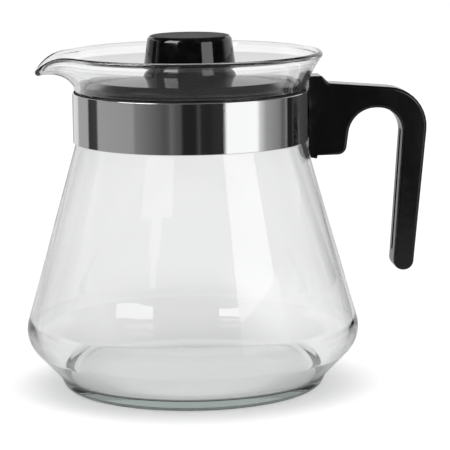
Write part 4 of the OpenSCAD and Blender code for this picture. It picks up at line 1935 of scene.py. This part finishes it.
def far(start: float, end: float, level_start: float, level_end: float, low: float, high: float) -> Card:
    """Makes a panel that stands far off and droops."""
    return Card(start, end, level_start, level_end, low, high, FAR_RADIUS, FAR_DROOP)


@dataclass(frozen=True)
class Lamp:
    """A soft square lamp: its place and size in metres, and its power."""

    name: str
    place: Corner
    size: float
    power: float


@dataclass
class Studio:
    """Soft lamps, reflection panels, world and camera round the white table."""

    focal: float = 192.0
    sensor: float = 36.0
    distance: float = 1.08406
    pitch: float = 9.389
    azimuth: float = 5.8
    roll: float = -0.6
    aim_x: float = 0.015
    aim_z: float = 0.072325
    ambient: float = 0.55
    front_room: float = 0.03
    back_room: float = 0.95
    back_turn: float = 0.35
    room_top: tuple[float, float] = (24, 32)
    inner_glow: float = 0.7
    deep_glow: float = 0.6
    one_wall: float = 2.5
    few_mirrors: float = 2.5
    many_mirrors: float = 3.5
    mirror_bounces: int = 12
    lamp_aim: Corner = (0, 0, 0.07)
    lamps: tuple[Lamp, ...] = (
        Lamp("top", (0.0, 0.1, 1.3), 1.2, 5.5),
        Lamp("right", (0.8, -0.8, 0.9), 0.7, 3.0),
        Lamp("left", (-0.7, -0.8, 0.9), 0.7, 2.0),
    )
    cards: tuple[Card, ...] = (
        Card(-158, -140, 0.85, 0.75, 0.036, 0.3), Card(-140, -117, 0.42, 0.42, 0.036, 0.3),
        Card(-117, -102, 0.04, 0.06, 0.035, 0.3), Card(-102, -58, 0.38, 0.34), Card(-58, -30, 0.24, 0.1),
        Card(-30, -24, 0.09, 0.1), Card(-24, -19, 0.17, 0.12), Card(-19, -13, 0.1, 0.09),
        Card(-13, 1.5, 0.02, 0.018), Card(1.5, 3, 0.11, 0.11), Card(3, 14, 0.025, 0.02),
        Card(14, 26.5, 0.028, 0.035), Card(26.5, 60, 1.18, 1.2, 0, 0.112),
        Card(26.5, 60, 1.3, 1.3, 0.112, 0.17), Card(26.5, 57, 3.0, 3.0, 0.17, 0.31),
        Card(60, 68, 0.8, 0.42), Card(68, 88, 0.38, 0.22), Card(88, 95, 0.15, 0.12),
        Card(95, 97, 0.33, 0.33), Card(97, 108, 0.016, 0.016),
        Card(108, 110, 0.33, 0.33), Card(110, 130, 0.18, 0.04), Card(130, 138, 0.03, 0.03),
        Card(138, 140, 0.2, 0.2), Card(-70, -34, 8.0, 8.0, 0.168, 0.25, 0.09),
        far(-50, -22, 1.4, 1.7, 0.684, 0.762), far(-40, -31, 1.5, 1.5, 0.638, 0.684),
        far(-38, -33, 1.3, 1.3, 0.601, 0.638), far(-62, -34, 3.5, 5.0, 0.568, 0.584),
        far(-54, -33, 1.2, 1.5, 0.557, 0.563), far(-50, -33, 0.8, 1.0, 0.548, 0.553),
        far(14, 37, 6.0, 4.0, 0.574, 0.584), far(15, 36, 2.0, 1.4, 0.567, 0.571),
        far(16, 35, 1.4, 1.0, 0.559, 0.563),
    )

    def build(self) -> None:
        """Sets the stage."""
        WhiteTable().build()
        self.panels(self.panel_glow())
        for lamp in self.lamps:
            self.hang(lamp)
        self.world()
        self.camera()
        bpy.context.scene.cycles.glossy_bounces = self.mirror_bounces
        bpy.context.scene.cycles.max_bounces = 2 * self.mirror_bounces

    @staticmethod
    def panel_glow() -> Material:
        """Makes the glow of the panels, whose level is stored on their points.

        Returns:
            The material.
        """
        look = Look("panel_glow")
        look.w.tree.nodes.remove(look.shader)
        level = look.w.add("ShaderNodeAttribute", attribute_name="glow").outputs["Fac"]
        look.end(look.w.glow(level))
        look.made.cycles.emission_sampling = "NONE"
        return look.made

    def panels(self, finish: Material) -> None:
        """Makes the panels, which only mirrored rays see.

        Args:
            finish: The panels' material.
        """
        verts: list[Corner] = []
        faces: list[list[int]] = []
        glow: list[float] = []
        for card in self.cards:
            steps = max(LEAST_STEPS, int(abs(card.end - card.start) / PANEL_STEP))
            for k in range(steps + 1):
                share = k / steps
                degrees = card.start + (card.end - card.start) * share
                angle, fall = math.radians(degrees), card.droop * (degrees + self.azimuth) ** 2
                for z in (card.low, card.high):
                    verts.append((card.radius * math.sin(angle), -card.radius * math.cos(angle), z - fall))
                    glow.append(card.level_start + (card.level_end - card.level_start) * share)
                if k:
                    base = len(verts) - 4
                    faces.append([base, base + 2, base + 3, base + 1])
        mesh = bpy.data.meshes.new("panels")
        mesh.from_pydata(verts, [], faces)
        layer = mesh.attributes.new("glow", "FLOAT", "POINT")
        layer.data.foreach_set("value", np.array(glow, np.float32))
        ring = link("panels", mesh)
        ring.data.materials.append(finish)
        for kind in ("camera", "diffuse", "glossy", "transmission", "volume_scatter", "shadow"):
            setattr(ring, "visible_" + kind, kind == "glossy")

    def hang(self, lamp: Lamp) -> None:
        """Hangs a lamp that neither the camera nor a reflection sees.

        Args:
            lamp: The lamp.
        """
        data = bpy.data.lights.new(lamp.name, "AREA")
        data.shape = "SQUARE"
        data.size = lamp.size
        data.energy = lamp.power
        made = link(lamp.name, data)
        made.location = lamp.place
        ahead = Vector(self.lamp_aim) - Vector(lamp.place)
        made.rotation_euler = ahead.to_track_quat("-Z", "Y").to_euler()
        for kind in ("camera", "glossy", "transmission"):
            setattr(made, "visible_" + kind, False)

    def world(self) -> None:
        """Makes the white backdrop, with a dim room in front of it for reflections."""
        world = bpy.data.worlds.new("studio")
        bpy.context.scene.world = world
        world.use_nodes = True
        world.node_tree.nodes.clear()
        w = Wiring(world.node_tree)
        _, y, z = w.separate(w.add("ShaderNodeTexCoord").outputs["Generated"])
        ray = w.add("ShaderNodeLightPath").outputs
        mirrors, passing = ray["Glossy Depth"], ray["Is Transmission Ray"]
        mirrored = w.math("GREATER_THAN", mirrors, HALF_STEP)
        low, high = (math.sin(math.radians(degrees)) for degrees in self.room_top)
        back = w.times(w.ramp(y, 0.0, self.back_turn, 0, 1), w.ramp(z, low, high, 1, 0))
        room = w.math("MULTIPLY_ADD", back, self.back_room - self.front_room, self.front_room)
        shallow = w.math("LESS_THAN", ray["Transmission Depth"], self.one_wall)
        inner = w.times(passing, w.times(mirrored, shallow))
        inner = w.math("MAXIMUM", inner, w.math("GREATER_THAN", mirrors, self.few_mirrors))
        room = w.math("MULTIPLY_ADD", inner, w.math("SUBTRACT", self.inner_glow, room), room)
        deep = w.math("GREATER_THAN", mirrors, self.many_mirrors)
        room = w.math("MULTIPLY_ADD", deep, w.math("SUBTRACT", self.deep_glow, room), room)
        clear = w.times(passing, w.math("SUBTRACT", 1, mirrored))
        seen = w.math("MAXIMUM", ray["Is Camera Ray"], clear)
        soft = w.math("MULTIPLY_ADD", mirrored, w.math("SUBTRACT", room, self.ambient), self.ambient)
        level = w.math("MULTIPLY_ADD", seen, w.math("SUBTRACT", 1, soft), soft)
        sky = w.out("ShaderNodeBackground", {"Color": (1, 1, 1, 1), "Strength": level})
        w.add("ShaderNodeOutputWorld", {"Surface": sky})

    def camera(self) -> None:
        """Sets the camera at the photograph's place."""
        turn = Matrix.Rotation(-math.radians(self.azimuth), 3, "Z")
        tilt, roll = math.radians(self.pitch), math.radians(self.roll)
        ahead = turn @ Vector((0, math.cos(tilt), -math.sin(tilt)))
        up = turn @ Vector((0, math.sin(tilt), math.cos(tilt)))
        right = turn @ Vector((1, 0, 0))
        eye = turn @ Vector((self.aim_x, 0, self.aim_z)) - self.distance * ahead
        across = right * math.cos(roll) + up * math.sin(roll)
        rise = up * math.cos(roll) - right * math.sin(roll)
        data = bpy.data.cameras.new("photo_camera")
        data.lens = self.focal
        data.sensor_width = self.sensor
        made = link("photo_camera", data)
        made.matrix_world = Matrix.Translation(eye) @ Matrix((across, rise, -ahead)).transposed().to_4x4()
        bpy.context.scene.camera = made


def main() -> None:
    """Builds the server, piece by piece, and sets the stage."""
    logging.basicConfig(level=logging.INFO, format="%(message)s")
    bpy.context.scene.view_settings.view_transform = "Standard"
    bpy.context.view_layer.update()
    shop = Workshop()
    vessel, clamp = GlassVessel(shop), NeckClamp(shop)
    pieces = [vessel.build(), *clamp.build()]
    pieces.append(HandleMoulding(shop).build(vessel, clamp))
    pieces += LiftLid(shop).build()
    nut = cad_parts["clamp_nut"]
    nut.data.materials.clear()
    nut.data.materials.append(shop.finish[Slot.FASTENER])
    LOG.info("%d pieces made, clamp_nut kept from the solids", len(pieces))
    Studio().build()


if __name__ == "__main__":
    main()
